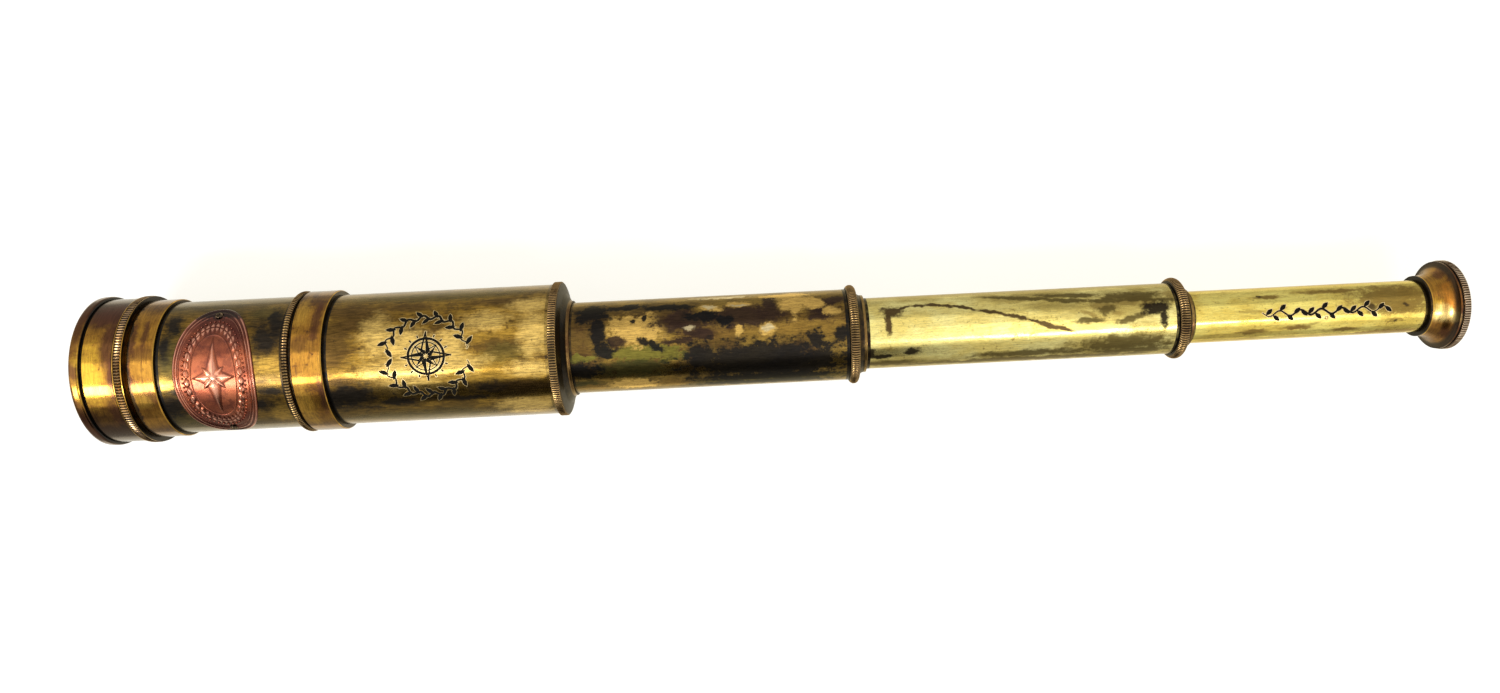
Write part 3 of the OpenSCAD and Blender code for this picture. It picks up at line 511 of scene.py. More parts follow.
# %% The middle draw, pale with a creeping stain line
pale_brass = aged_brass(
    "pale_brass", 12.1, dict(bright=(0.97, 0.84, 0.31), warm=(0.9, 0.71, 0.2), brown=(0.34, 0.23, 0.055),
        side=(0.27, 0.2, 0.055), black=(0.016, 0.01, 0.006), line=(0.07, 0.035, 0.012),
        olive=(0.115, 0.08, 0.02), dusk=(0.46, 0.34, 0.085), ring=(0.55, 0.45, 0.15)),
    mottles=0.36, streaks=0.2, sides=0.8, rim=(42, 68), shift=27, shine=0.2, grain=0.3, wander=(1.1, 0.3),
    # The black rings next to the bushes are painted shade.
    rings=[(182.3, 183.6, "black", 0.9), (285.6, 286.7, "black", 0.8)],
    layers=[
        ("dusk", 0.6, 0.8, (268, -26, 17, 6), (246, -30, 9, 2.4), (264, 40, 18, 2.4), (276, 16, 8, 3),
            (232, -46, 8, 1.2)),
        ("brown", 0.35, 0.75, (262, -24, 5, 1.6, 10), (271, -32, 6, 1.5, -8), (277, -27, 3, 1.8),
            (257, -13, 3, 0.8, 20), (266, -12, 2.5, 0.9), (284, -44, 4, 2)),
        # The long olive strip low on the side, at 67 degrees, is painted shade; the rest of the olive is
        # stain.
        ("olive", 0.4, 0.9,
            *trail([(227, -54), (242.6, -44), (257, -35), (270, -35), (284, -31)], 0.9, 12.1),
            (252, -50, 12, 1.2, 3), (236, 67, 46, 1.5), (262.4, -18, 4, 1.6), (256, -3, 5, 0.9),
            (270, 39, 15, 3.8), (238, 50, 20, 1.6), (272, 56, 13, 2), (272, -42, 11, 2), (190, 60, 12, 1.6),
            (270, -2, 4.5, 1, -14), (230, 110, 22, 3, 3), (262, -116, 16, 3)),
        ("line", 0.4, 0.95, (191.5, -35, 3.4, 2), (189.8, -14, 1, 4.4),
            *trail([(190, -36), (197.6, -42.3), (203, -45), (212.3, -38.9), (220, -29.5), (227.8, -20.4),
                (235.5, -10.5), (242.7, 0.7), (249.6, 11.5)], 0.62, 12.1),
            (233, -14, 5, 0.8, 16), (243, 1.5, 5, 0.9, 17)),
        ("ring", 0.3, 0.5, (220.6, 2, 3, 0.5), (217.6, 5, 0.5, 1.2), (223.6, 5, 0.5, 1.2)),
        ("black", 0.4, 0.97, (279, -18, 4.4, 2.2, -4), (281.4, 0, 1.3, 3.6), (197.6, 34, 2.9, 1.5, -12),
            (187, 41, 4, 1.2), (184, 36, 1.6, 2.2))])

# %% The thinnest draw, lightly mottled
draw_3_brass = aged_brass(
    "pale_brass_3", 8.9, dict(bright=(0.95, 0.78, 0.2), warm=(0.8, 0.58, 0.11), brown=(0.34, 0.215, 0.04),
        side=(0.52, 0.4, 0.1), black=(0.05, 0.03, 0.014), dusk=(0.24, 0.14, 0.028)),
    mottles=0.42, streaks=0.3, sides=0.55, rim=(40, 68), shift=39, shine=0.17, grain=0.3, wander=(0.9, 0.35),
    # The black rings next to the bush and the eyecup are painted shade.
    rings=[(292.3, 293.3, "black", 0.8), (370.3, 371.4, "black", 0.85)],
    layers=[
        ("dusk", 0.45, 0.9, (359, -26, 14, 4.4), (361, -3, 10, 3), (360, 66, 12, 1.4), (328, 37, 4.5, 0.9),
            (313, 43, 4.6, 1), (344, 49, 6, 0.9), (340, -46, 12, 1), (318, -38, 5, 0.8),
            (340, 115, 18, 2, 2)),
        ("dusk", 0.4, 0.5, (330, 67, 36, 1), (330, 33, 5, 0.6, -14), (311, -5, 5, 0.6)),
        ("black", 0.35, 0.85, (352, 1, 1.7, 1.5), (315.4, -41, 0.9, 0.5), (360.8, 30, 0.9, 0.5),
            (363.7, -5, 1.2, 0.6, 20))])

# %% [markdown]
# ## The turned pieces
# Cap, cell, collar, bushes and eyecup were turned on a lathe and lacquered, and heat gave the
# lacquer its amber middle and purple-brown shoulders; their dark top and bottom sides are painted
# shade. The knurls are darker, with dirt in the grooves and rubbed crests: the lathe below writes how
# deep each point lies in a groove into an attribute of the mesh, so that the dirt follows the cut.

# %% Cap, cell, collar and eyecup
AMBER = dict(bright=(0.47, 0.23, 0.032), warm=(0.34, 0.15, 0.022), brown=(0.13, 0.052, 0.019),
    side=(0.046, 0.022, 0.013), black=OLD_BLACK, purple=(0.1, 0.036, 0.02), amber=(0.72, 0.42, 0.04),
    gold=(0.7, 0.4, 0.06), crest=(0.5, 0.32, 0.15))
amber_cap = aged_brass(
    "amber_brass_cap", 24.4, AMBER,
    turned=True, knurled=True, mottles=0.4, streaks=0.5, sides=0.96, rim=(22, 47), shift=3,
    grazing=PALE_EDGE, shine=0.12,
    # The black rings in the two grooves are painted shade, and the gold ones on the lips' edges painted
    # highlights.
    rings=[(-75.8, -72.8, "brown", 0.45), (-72.5, -71.7, "black", 0.9), (-62.2, -61.75, "black", 0.8),
        (-61.7, -61.45, "gold", 0.5), (-59.05, -58.75, "gold", 0.5)],
    layers=[
        ("amber", 0.5, 0.75, (-69.5, 2, 4.4, 9.5)),
        ("purple", 0.5, 0.85, (-63.6, -24, 2.4, 10), (-62.6, 4, 1.3, 12), (-63.6, 35, 2.2, 4.6),
            (-66, -50, 6, 5), (-67, -46, 6, 5), (-74.2, 0, 1.6, 2.6), (-74, -40, 1.4, 7), (-74, 45, 1.4, 7),
            (-66, 110, 8, 9), (-68, -140, 8, 9))])
amber_brass = aged_brass(
    "amber_brass", 23.5, AMBER,
    turned=True, mottles=0.5, streaks=0.6, sides=0.6, shift=9, shine=0.12, grazing=PALE_EDGE,
    # The thin gold rings on the edges of the collar and the cell are painted highlights.
    rings=[(-5.05, -4.85, "gold", 0.3), (4.8, 5.05, "gold", 0.5), (-49.55, -49.3, "gold", 0.5)],
    layers=[
        ("brown", 0.5, 0.6, (-53.5, -13, 4.5, 2.6), (-2, -14, 3, 2.8)),
        ("purple", 0.5, 0.8, (-56.4, -25, 1.4, 7), (-52.6, -30, 1, 5), (-56.9, 5, 0.5, 14),
            (2.6, -34, 1.4, 8), (3.6, 30, 1, 6), (0, 95, 5, 8), (-52, -100, 5, 9)),
        ("gold", 0.7, 0.55, (-2.4, 40, 2.6, 9), (-2.6, -44, 2, 6), (-54, 26, 3, 2.5)),
        # The black band at the cell's left end is painted shade in the gap by the cap.
        ("black", 0.3, 0.85, (-57.6, 0, 0.6, 90))])
amber_eyecup = aged_brass(
    "amber_brass_eyecup", 14, dict(AMBER, crest=(0.66, 0.52, 0.36), orange=(0.5, 0.19, 0.024),
        straw=(0.95, 0.7, 0.24)),
    turned=True, knurled=True, mottles=0.35, streaks=0.4, sides=0.4, shift=21, shine=0.22,
    # The black ring on the neck's face and the one in the groove are painted shade, and the gold ring at the
    # neck's edge a painted highlight.
    rings=[(371, 371.9, "black", 0.9), (371.95, 372.3, "gold", 0.6), (378.4, 379.1, "purple", 0.7),
        (379.1, 379.6, "black", 0.9), (379.6, 381.8, "brown", 0.5)],
    layers=[
        ("orange", 0.6, 0.85, (377.2, -2, 1.8, 7.5), (376.6, 16, 2, 4)),
        ("amber", 0.5, 0.6, (373.6, 6, 1.5, 4)),
        # The straw spots lie along the lamp's highlight: a painted highlight.
        ("straw", 0.8, 0.9, (374.6, 17, 2.8, 3), (377.6, 18, 1.2, 2.4)),
        ("purple", 0.5, 0.7, (377, 50, 1.5, 3), (377, -60, 2, 3), (375, 110, 3, 8))])

# %% Bushes, knurled rings and the plain pieces inside
knurled_brass = aged_brass(
    "knurled_brass", 18, dict(bright=(0.3, 0.185, 0.052), warm=(0.19, 0.1, 0.029),
        brown=(0.11, 0.052, 0.02), side=(0.15, 0.085, 0.03), black=(0.014, 0.012, 0.01),
        crest=(0.45, 0.28, 0.11), gold=(0.62, 0.42, 0.12)),
    turned=True, knurled=True, mottles=0.5, streaks=0.5, sides=0.4, shift=33, shine=0.24,
    # The black bands in the joints and grooves, on the flange's shoulder and on the necks are painted shade;
    # the faint gold bands at the necks' ends are painted highlights.
    rings=[(80.7, 82.7, "black", 0.85), (82.7, 83.9, "brown", 0.4), (179.9, 181.6, "black", 0.8),
        (176.4, 176.75, "black", 0.9), (181.7, 182.3, "gold", 0), (290.2, 291.6, "black", 0.8),
        (286.4, 286.75, "black", 0.9), (291.7, 292.3, "gold", 0), (-8.15, -7.6, "black", 0.7),
        (-5.9, -5, "black", 0.8)])
turned_brass = aged_brass(
    "turned_brass", 12, dict(bright=(0.72, 0.54, 0.19), warm=(0.56, 0.38, 0.11), brown=(0.3, 0.18, 0.06),
        side=(0.5, 0.34, 0.1), black=(0.09, 0.06, 0.03)),
    turned=True, mottles=0.3, streaks=0.3, sides=0.2, shift=45, shine=0.3)

# %% [markdown]
# ## Copper, black lacquer and glass
# The badge is stamped copper: rubbed and pink on the raised lines, brown-purple in the corners
# and round its rivets. The lens rings and light stops are matt black, so that they throw no light
# into the eye. The lenses are clear glass with the faint green of old crown and flint.

# %% The copper of the badge
BADGE_X = -30.45
BADGE_TURN = radians(10)
UNSHADED_TURN = BADGE_TURN + radians(4)
badge_copper = Finish("copper_plate", 22.8)
height = badge_copper.attribute("relief")
fine = badge_copper.noise(1.1, 4, 0.6, 4)
cloud = badge_copper.noise(0.13, 4, 0.6, 9)
patch = badge_copper.noise(0.35, 4, 0.6, 15)
# Painted shade: the copper darkens with its angle from a line near the lamp's highlight.
from_middle = abs(badge_copper.arc / badge_copper.radius - UNSHADED_TURN)
foot = abs(height + (fine - 0.5) * 0.3 - 0.26).between(0.16, 0.03)
rubbed = (height + (patch - 0.5) * 0.6).between(0.42, 0.8)
colour = badge_copper.blend(cloud.between(0.38, 0.62), (0.42, 0.115, 0.046), (0.31, 0.075, 0.032))
for mask, tone in (
        (patch.between(0.46, 0.62) * 0.6, (0.15, 0.036, 0.020)),
        ((from_middle + (cloud - 0.5) * 0.9).between(0.28, 0.85) * 0.8, (0.085, 0.020, 0.015)),
        (foot * 0.6, (0.10, 0.024, 0.016)), (rubbed * 0.7, (0.84, 0.38, 0.24)),
        ((from_middle + (fine - 0.5) * 0.3).between(0.93, 1.03) * 0.9, (0.022, 0.015, 0.014))):
    colour = badge_copper.blend(mask, colour, tone)
roughness = 0.27 + foot * 0.12 + (fine - 0.5) * 0.16 - rubbed * 0.04
copper_plate = badge_copper.metal(colour, roughness, fine * 0.008 + cloud * 0.05, coat=0.3)
print(copper_plate.name)

# %% Rivets, lacquer and glass
def dark_rivet(name):
    """The hammered heads of the badge's rivets."""
    f = Finish(name, 23)
    dents = f.noise(1.6, 3, 0.6, 6)
    colour = f.blend(dents.between(0.45, 0.7), (0.022, 0.016, 0.013), (0.30, 0.20, 0.11))
    return f.metal(colour, 0.22 + dents * 0.2, dents * 0.3)


def lacquer(name, wear, roughness):
    """Black paint, matt; wear says how far brass shows through it, from 0 to 1."""
    f = Finish(name, 12)
    grain = f.noise(2.2, 3, 0.6, 2)
    worn = f.noise(0.5, 4, 0.6, 8).between(0.66, 0.74) * wear
    colour = f.blend(worn, (0.006, 0.005, 0.004), (0.16, 0.11, 0.045))
    return f.metal(colour, roughness + grain * 0.2, grain * 0.006, metallic=worn, specular=0.12)


def glass(name):
    """Polished crown glass with a little dust."""
    f = Finish(name, 18)
    dust = f.noise(0.7, 4, 0.65, 12)
    clear = wire(f.tree, "ShaderNodeBsdfPrincipled", {}, {
        "Base Color": (0.93, 0.985, 0.96, 1), "Roughness": 0.02 + dust.between(0.55, 0.8) * 0.1,
        "Transmission Weight": 1.0, "IOR": 1.52})
    add(f.tree, "ShaderNodeOutputMaterial", {}, {"Surface": clear})
    return f.material


def bright_cut(name):
    """Brass that was laid bare by the cutter."""
    f = Finish(name, 22)
    grain = f.noise(0.5, 4, 0.65, 31)
    colour = f.blend(grain.between(0.45, 0.65), (0.82, 0.62, 0.29), (0.50, 0.33, 0.10))
    return f.metal(colour, 0.26 + grain * 0.1, grain * 0.004)


rivet_brass = dark_rivet("knurled_brass_rivets")
cut_brass = bright_cut("antique_brass_cut")
black_lacquer = lacquer("black_lacquer", 0.35, 0.42)
engraved_black = lacquer("black_lacquer_fill", 0.0, 0.6)
optical_glass = glass("optical_glass")
print("rivets, cut edges, lacquer and glass ready")

# %% [markdown]
# ## A lathe in Geometry Nodes
# A turned piece is a rule in itself: one outline, carried round the axis. A knurl is the same
# rule with the radius going in and out as it turns. So one tree makes them all. It lays a grid
# with one row for each point of the outline and one column for each step of the turn, looks up
# the row's place in the outline, and cuts ridges only where the outline says so.

# %% Trees with named inputs
SIZE, COUNT = "NodeSocketFloat", "NodeSocketInt"


def start_tree(name, inputs):
    """A Geometry Nodes tree that takes a mesh, the named inputs and a material."""
    tree = bpy.data.node_groups.new(name, "GeometryNodeTree")
    tree.is_modifier = True
    kinds = {"Mesh": "NodeSocketGeometry", **inputs, "Material": "NodeSocketMaterial"}
    for label, kind in kinds.items():
        tree.interface.new_socket(label, in_out="INPUT", socket_type=kind)
    tree.interface.new_socket("Mesh", in_out="OUTPUT", socket_type="NodeSocketGeometry")
    start = tree.nodes.new("NodeGroupInput")
    return tree, {socket.name: Wire(tree, socket) for socket in start.outputs if socket.name}


def end_tree(tree, mesh, material):
    """Closes a tree with Realize Instances and Set Material."""
    real = wire(tree, "GeometryNodeRealizeInstances", {}, {0: mesh})
    painted = wire(tree, "GeometryNodeSetMaterial", {}, {"Geometry": real, "Material": material})
    add(tree, "NodeGroupOutput", {}, {0: painted})


def round_x(x, radius, angle):
    """The point at x, a radius and an angle from the top towards -Y."""
    return wire(x.tree, "ShaderNodeCombineXYZ", {}, {
        0: x, 1: radius * angle.math("SINE") * -1, 2: radius * angle.math("COSINE")})


def grow(tree, start_mesh, values):
    """Runs a tree on a mesh and returns the result as a plain mesh."""
    seed = bpy.data.objects.new("seed", start_mesh)
    scene.collection.objects.link(seed)
    modifier = seed.modifiers.new("tree", "NODES")
    modifier.node_group = tree
    sockets = {item.name: item.identifier for item in tree.interface.items_tree if item.in_out == "INPUT"}
    for label, value in values.items():
        modifier[sockets[label]] = value
    graph = bpy.context.evaluated_depsgraph_get()
    mesh = bpy.data.meshes.new_from_object(
        seed.evaluated_get(graph), preserve_all_data_layers=True, depsgraph=graph)
    bpy.data.objects.remove(seed)
    return mesh


print("trees can start")

# %% The lathe
HALF_ROW = 0.0001
SEAM = 0.000002


def lathe_tree():
    """Turns an outline of (x, 0, radius) points round X and knurls it where ridged is 1."""
    tree, given = start_tree("lathe", {"Segments": COUNT, "Ridges": COUNT, "Ridge depth": SIZE})
    rows = wire(tree, "GeometryNodeAttributeDomainSize", {"component": "MESH"}, {
        0: given["Mesh"]}, "Point Count")
    columns = given["Segments"] + 1
    grid = wire(tree, "GeometryNodeMeshGrid", {}, {"Vertices X": rows, "Vertices Y": columns})
    index = wire(tree, "GeometryNodeInputIndex", {}, {})
    row = (index / columns + HALF_ROW).math("FLOOR")
    turn = (index - row * columns) / given["Segments"]

    def on_outline(kind, value):
        return wire(tree, "GeometryNodeSampleIndex", {"data_type": kind, "domain": "POINT"}, {
            "Geometry": given["Mesh"], "Value": value, "Index": row})

    place = wire(tree, "GeometryNodeInputPosition", {}, {})
    x, _, outer = on_outline("FLOAT_VECTOR", place).parts()
    marked = wire(tree, "GeometryNodeInputNamedAttribute", {"data_type": "FLOAT"}, {"Name": "ridged"})
    ridged = on_outline("FLOAT", marked)
    groove = ridged * (0.5 - (turn * given["Ridges"] * (2 * pi)).math("COSINE") * 0.5)
    point = round_x(x, outer - groove * given["Ridge depth"], turn * (2 * pi))
    made = wire(tree, "GeometryNodeSetPosition", {}, {"Geometry": grid, "Position": point})
    for label, value in {"groove": groove, "ridged": ridged}.items():
        made = wire(tree, "GeometryNodeStoreNamedAttribute", {"data_type": "FLOAT", "domain": "POINT"}, {
            "Geometry": made, "Name": label, "Value": value})
    closed = wire(tree, "GeometryNodeMergeByDistance", {}, {"Geometry": made, "Distance": SEAM})
    end_tree(tree, closed, given["Material"])
    return tree


lathe = lathe_tree()
print("lathe nodes:", len(lathe.nodes))

# %% [markdown]
# ## Outlines for the lathe
# A turner never leaves a sharp corner, and a rounded one is what catches the light. Each corner
# of an outline is x, radius and how much it is eased, and a fourth number of 1 where it is
# knurled. Easing puts a short curve in the corner and a support point on each side of it, so
# that the flats beside it still shade flat.

# %% Rounding and turning an outline
CURVE_STEPS = 3
SUPPORT = 1.25
RIDGE_STEPS = 6
CRISP = radians(38)


def rounded(corners):
    """The points (x, radius, ridged) of a closed outline whose corners are eased."""
    points = []
    for number, corner in enumerate(corners):
        x, r, ease, ridged = (*corner, 0, 0)[:4]
        if not ease:
            points.append((x, r, ridged))
            continue
        here = Vector((x, r))
        back = (Vector(corners[number - 1][:2]) - here).normalized()
        ahead = (Vector(corners[(number + 1) % len(corners)][:2]) - here).normalized()
        curve = [here + back * ease * SUPPORT]
        for step in range(CURVE_STEPS + 1):
            t = step / CURVE_STEPS
            curve.append(here + back * ease * (1 - t) ** 2 + ahead * ease * t ** 2)
        curve.append(here + ahead * ease * SUPPORT)
        points += [(*spot, ridged) for spot in curve]
    return points


def edited(mesh, edit):
    """Runs one bmesh edit on a mesh."""
    work = bmesh.new()
    work.from_mesh(mesh)
    edit(work)
    work.to_mesh(mesh)
    work.free()


def keep(name, mesh):
    """Makes an object of a finished mesh, with its normals pointing out and its edges crisp."""
    edited(mesh, lambda work: bmesh.ops.recalc_face_normals(work, faces=work.faces))
    mesh.name = name
    mesh.shade_smooth()
    mesh.set_sharp_from_angle(angle=CRISP)
    piece = bpy.data.objects.new(name, mesh)
    scene.collection.objects.link(piece)
    print(name, len(mesh.vertices), "points")
    return piece


def turn_piece(name, corners, material, ridges, depth):
    """Turns a closed outline, in millimetres, and returns the piece."""
    points = rounded(corners)
    points.append(points[0])
    outline = bpy.data.meshes.new(name + "_outline")
    outline.from_pydata([(x * MM, 0, r * MM) for x, r, _ in points], [], [])
    outline.attributes.new("ridged", "FLOAT", "POINT").data.foreach_set("value", [p[2] for p in points])
    return keep(name, grow(lathe, outline, {
        "Segments": ridges * RIDGE_STEPS, "Ridges": ridges, "Ridge depth": depth * MM, "Material": material}))


print("outlines ready")

# %% [markdown]
# ## The dust cap
# The cap has a rounded rim at the front, a plain drum that the thumb holds, and a coin-edged ring
# at its mouth for the pull. A thin lip stands before the knurl, as on the real one, and its front
# face gets a few shallow rings from the same lathe.

# %% The dust cap
cap = turn_piece("cap_with_coin_edge", [
    (-75.45, 0), (-75.45, 8.0, 0.1), (-75.7, 8.3, 0.1), (-75.7, 19.6, 0.1), (-75.45, 19.9, 0.1),
    (-75.45, 20.6, 0.1), (-75.7, 20.9, 0.1), (-75.7, 25.4, 1.1), (-72.4, 25.4, 0.8),
    (-72.4, 24.0, 0.12), (-71.8, 24.0, 0.12), (-71.8, 24.4, 0.15), (-62.15, 24.4, 0.12), (-62.15, 24.05, 0.1),
    (-61.8, 24.05, 0.1), (-61.8, 24.9, 0.12), (-61.45, 24.9, 0.1), (-61.4, 24.65),
    (-61.3, 24.95, 0, 1), (-61.15, 25.05, 0, 1), (-59.35, 25.05, 0, 1), (-59.2, 24.95, 0, 1), (-59.1, 24.65),
    (-59.05, 24.9, 0.1), (-58.7, 24.9, 0.12), (-58.7, 22.9, 0.15), (-69.8, 22.9), (-69.8, 21.4, 0.2),
    (-74.2, 21.4, 0.3), (-74.2, 0)],
    amber_cap, ridges=156, depth=0.36)
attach(cap, "cap")
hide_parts("dust_cap")

# %% [markdown]
# ## The knurled rings
# The coupling's ring and the two draw bushes have a round section, knurled only on the crest.
# An arc of points gives that section, with the knurl fading out towards its sides. The barrel's
# bush has a flat knurled flange, whose teeth stand out over the barrel, and a steep shoulder.

# %% A round ring's outline
def round_crest(x0, length, crest_r, bare=0.62, steps=14):
    """Points over a half-round ring, ridged where they are higher than bare of its height."""
    half = length / 2
    points = []
    for step in range(steps + 1):
        angle = -pi / 2 + pi * step / steps
        height = cos(angle)
        points.append((x0 + half + half * sin(angle), crest_r - half + half * height, 0,
                       1 if height > bare else 0))
    return points


coupling = turn_piece("coupling_with_knurled_ring", [
    (-8.1, 22.34), *round_crest(-8.1, 2.2, 24.03, 0.35), (-5.9, 22.58, 0.06), (-4.9, 22.58),
    (-4.6, 22.88), (0.5, 22.88), (0.5, 22.34)], knurled_brass, ridges=150, depth=0.3)
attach(coupling, "barrel")
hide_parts("front_coupling")

# %% The barrel's bush
barrel_bush = turn_piece("barrel_bush_with_knurled_flange", [
    (67.9, 16.24), (67.9, 17.44), (76.3, 17.44), (76.3, 20.06), (67.9, 20.06), (67.9, 21.26), (77.9, 21.26),
    (77.9, 22.6), (78.1, 22.9, 0, 1), (80.2, 22.9, 0, 1), (80.5, 22.55), (80.7, 22.1, 0.15),
    (81.4, 18.8, 0.35), (82.5, 17.1, 0.35), (83.0, 16.2, 0.3), (83.85, 16.2, 0.12), (83.85, 15.55, 0.1),
    (76.9, 15.55), (76.9, 16.24)], knurled_brass, ridges=160, depth=0.32)
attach(barrel_bush, "barrel")
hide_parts("barrel_end_bush")

# %% The draws' bushes
def draw_bush(name, x0, length, ring_r, tube_bore, bore, neck_len, ridges):
    """A draw's end bush: a plug in the tube, a round knurled ring and a neck."""
    plug_r, neck_r, seat_r = tube_bore - 0.04, bore + 1.05, bore + 0.69
    x1 = x0 + length
    return turn_piece(name, [
        (x0 - 7, seat_r), (x0 - 7, plug_r), (x0, plug_r), *round_crest(x0, length, ring_r),
        (x1, neck_r + neck_len / 4 + 0.3), (x1 + neck_len / 2, neck_r, 0.3), (x1 + neck_len, neck_r, 0.15),
        (x1 + neck_len, bore, 0.1), (x0 + 2, bore), (x0 + 2, seat_r)],
        knurled_brass, ridges=ridges, depth=0.3)


for body, bush in {
    "draw_1": draw_bush("draw_1_bush_with_knurled_ring", 176.55, 3.4, 16.9, 14.8, 12.15, 2.5, 122),
    "draw_2": draw_bush("draw_2_bush_with_knurled_ring", 286.55, 3.6, 13.9, 11.5, 8.95, 2.3, 100),
}.items():
    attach(bush, body)
    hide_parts(body + "_end_bush")

# %% [markdown]
# ## The eyecup
# The eyecup flares like the mouth of a small trumpet: its outside is hollow, a quarter of an
# ellipse, and ends in a thin bright lip. A groove sets off a finely knurled rim that the fingers
# turn, and the back is dished for the eye.

# %% The eyecup
bends = [radians(90 * step / 14) for step in range(15)]
flare = [(372.05 + 6.4 * sin(bend), 10.34 + 4.55 * (1 - cos(bend))) for bend in bends]
eyecup = turn_piece("eyecup_with_knurled_rim", [
    (371.25, 8.94), (371.25, 10.34, 0.12), *flare, (379.05, 14.89, 0.12), (379.1, 14.59),
    (379.5, 14.59), (379.6, 14.95), (379.75, 15.19, 0, 1), (381.55, 15.19, 0, 1), (381.75, 14.95),
    (381.95, 14.6, 0.12), (381.95, 13.59, 0.3), (377.05, 9.2, 0.6), (377.05, 3.6, 0.15), (375.65, 3.6),
    (375.65, 8.94)], amber_eyecup, ridges=118, depth=0.22)
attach(eyecup, "draw_3")
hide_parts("eyecup")

# %% [markdown]
# ## The badge
# The badge is stamped from thin copper and bent round the front tube. Its relief is worked out on
# the flat: raised lines along the border, a long compass star in the middle with roof-like rays,
# and a chain of pointed leaves between them. Places on it are shares of the way out to the edge,
# and heights are millimetres. Then each point goes round the tube at its own height, and a row of
# small beads follows the border.

# %% The relief on the flat
BADGE_FACE = 22.84
BADGE_HALF = (13.15, radians(65) * BADGE_FACE)
PLATE = 0.24
BADGE_BORE = 22.34
STAR_RELIEF = 0.42
RAY_LENGTHS = (6.8, 5.0, 13.4, 5.0)
RAY_WAISTS = (2.3, 1.7)
BOSS = 1.7
BADGE_LEAVES = 36
LEAF_RING, LEAF_HALF, LEAF_RELIEF = 0.665, 0.078, 0.34
VEIN_HALF, VEIN_DEPTH = 0.011, 0.45
RAISED_LINES = ((0.972, 0.03, 0.36), (0.905, 0.022, 0.34), (0.85, 0.015, 0.28), (0.555, 0.014, 0.22))
DISH_EDGE, DISH_RELIEF = 0.84, 0.05


def ridge(value, middle, half):
    """1 on the middle line, falling to 0 at half its width."""
    return max(0.0, 1 - abs(value - middle) / half) ** 0.7


def star_height(u, v):
    """The height of an eight-rayed star with a round boss, from 0 to a little over 1."""
    best = 0.0
    for number in range(8):
        angle = pi / 4 * number
        length, waist = RAY_LENGTHS[number % 4], RAY_WAISTS[number % 2]
        along = u * cos(angle) + v * sin(angle)
        across = abs(v * cos(angle) - u * sin(angle))
        if 0 <= along < length:
            start = waist * 1.25
            width = waist * along / start if along < start else waist * (length - along) / (length - start)
            if across < width:
                best = max(best, (1 - across / width) * (0.45 + 0.55 * (1 - along / length)))
    return max(best, 1.1 * sqrt(max(0.0, 1 - (u * u + v * v) / BOSS)))


def leaf_height(t, around):
    """The height of the chain of leaves at the share t and the angle around, from 0 to 1."""
    inside = around / (2 * pi) * BADGE_LEAVES % 1 - 0.5
    half = LEAF_HALF * max(0.0, 1 - (inside / 0.47) ** 2)
    off = abs(t - LEAF_RING)
    if off >= half:
        return 0.0
    return (1 - (off / half) ** 2) ** 0.5 - (VEIN_DEPTH if off < VEIN_HALF else 0.0)


def relief(t, u, v):
    """Height over the plate, in millimetres, at the share t of the way out to the edge."""
    lines = max(ridge(t, middle, half) * height for middle, half, height in RAISED_LINES)
    dish = DISH_RELIEF * (1 - min(1.0, t / DISH_EDGE) ** 2)
    around = atan2(v / BADGE_HALF[1], u / BADGE_HALF[0]) % (2 * pi)
    leaves = LEAF_RELIEF * leaf_height(t, around)
    return max(lines, leaves, dish + STAR_RELIEF * star_height(u, v))


def on_tube(x, arc, height):
    """A flat place, wrapped round the front tube, in metres."""
    radius = BADGE_BORE + height
    angle = arc / BADGE_FACE + BADGE_TURN
    return Vector((x, -radius * sin(angle), radius * cos(angle))) * MM


print("relief ready")

# %% Stamping and bending the plate
BADGE_RINGS, BADGE_STEPS = 110, 260


def stamp_badge(rings, around):
    """The plate as a closed shell: an embossed face and a plain back."""
    points, heights, faces = [], [], []

    def lay(back):
        first = len(points)
        for ring in range(rings + 1):
            t = (ring / rings) ** 0.9
            for step in range(around):
                angle = 2 * pi * step / around
                u, v = BADGE_HALF[0] * t * cos(angle), BADGE_HALF[1] * t * sin(angle)
                height = 0.0 if back else relief(t, u, v)
                points.append(on_tube(BADGE_X + u, v, 0.0 if back else PLATE + height))
                heights.append(height / STAR_RELIEF)
        return first

    front, back = lay(False), lay(True)
    for first in (front, back):
        for ring in range(rings):
            for step in range(around):
                a = first + ring * around + step
                b = first + ring * around + (step + 1) % around
                faces.append((a, b, b + around, a + around))
    edge = rings * around
    for step in range(around):
        after = (step + 1) % around
        faces.append((front + edge + step, front + edge + after, back + edge + after, back + edge + step))
    mesh = bpy.data.meshes.new("badge")
    mesh.from_pydata(points, [], faces)
    mesh.attributes.new("relief", "FLOAT", "POINT").data.foreach_set("value", heights)
    edited(mesh, lambda work: bmesh.ops.remove_doubles(work, verts=work.verts, dist=1e-7))
    mesh.materials.append(copper_plate)
    return keep("badge_embossed", mesh)


badge = stamp_badge(BADGE_RINGS, BADGE_STEPS)
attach(badge, "barrel")
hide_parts("badge_plate")

# %% [markdown]
# ## Beads round the badge
# Beads are one shape on many points, which is what instancing is for. The tree puts a small ball
# on every point that it is given, and the points follow the border's ellipse at even steps.

# %% The bead tree
BEAD_RING = 0.765
BEAD_COUNT = 66
BEAD_RADIUS = 0.42
FINE_STEPS = 2000


def bead_tree():
    """Puts a small ball on each point of a mesh."""
    tree, given = start_tree("beads", {"Bead radius": SIZE})
    ball = wire(tree, "GeometryNodeMeshIcoSphere", {}, {"Radius": given["Bead radius"], "Subdivisions": 2})
    balls = wire(tree, "GeometryNodeInstanceOnPoints", {}, {"Points": given["Mesh"], "Instance": ball})
    end_tree(tree, balls, given["Material"])
    return tree


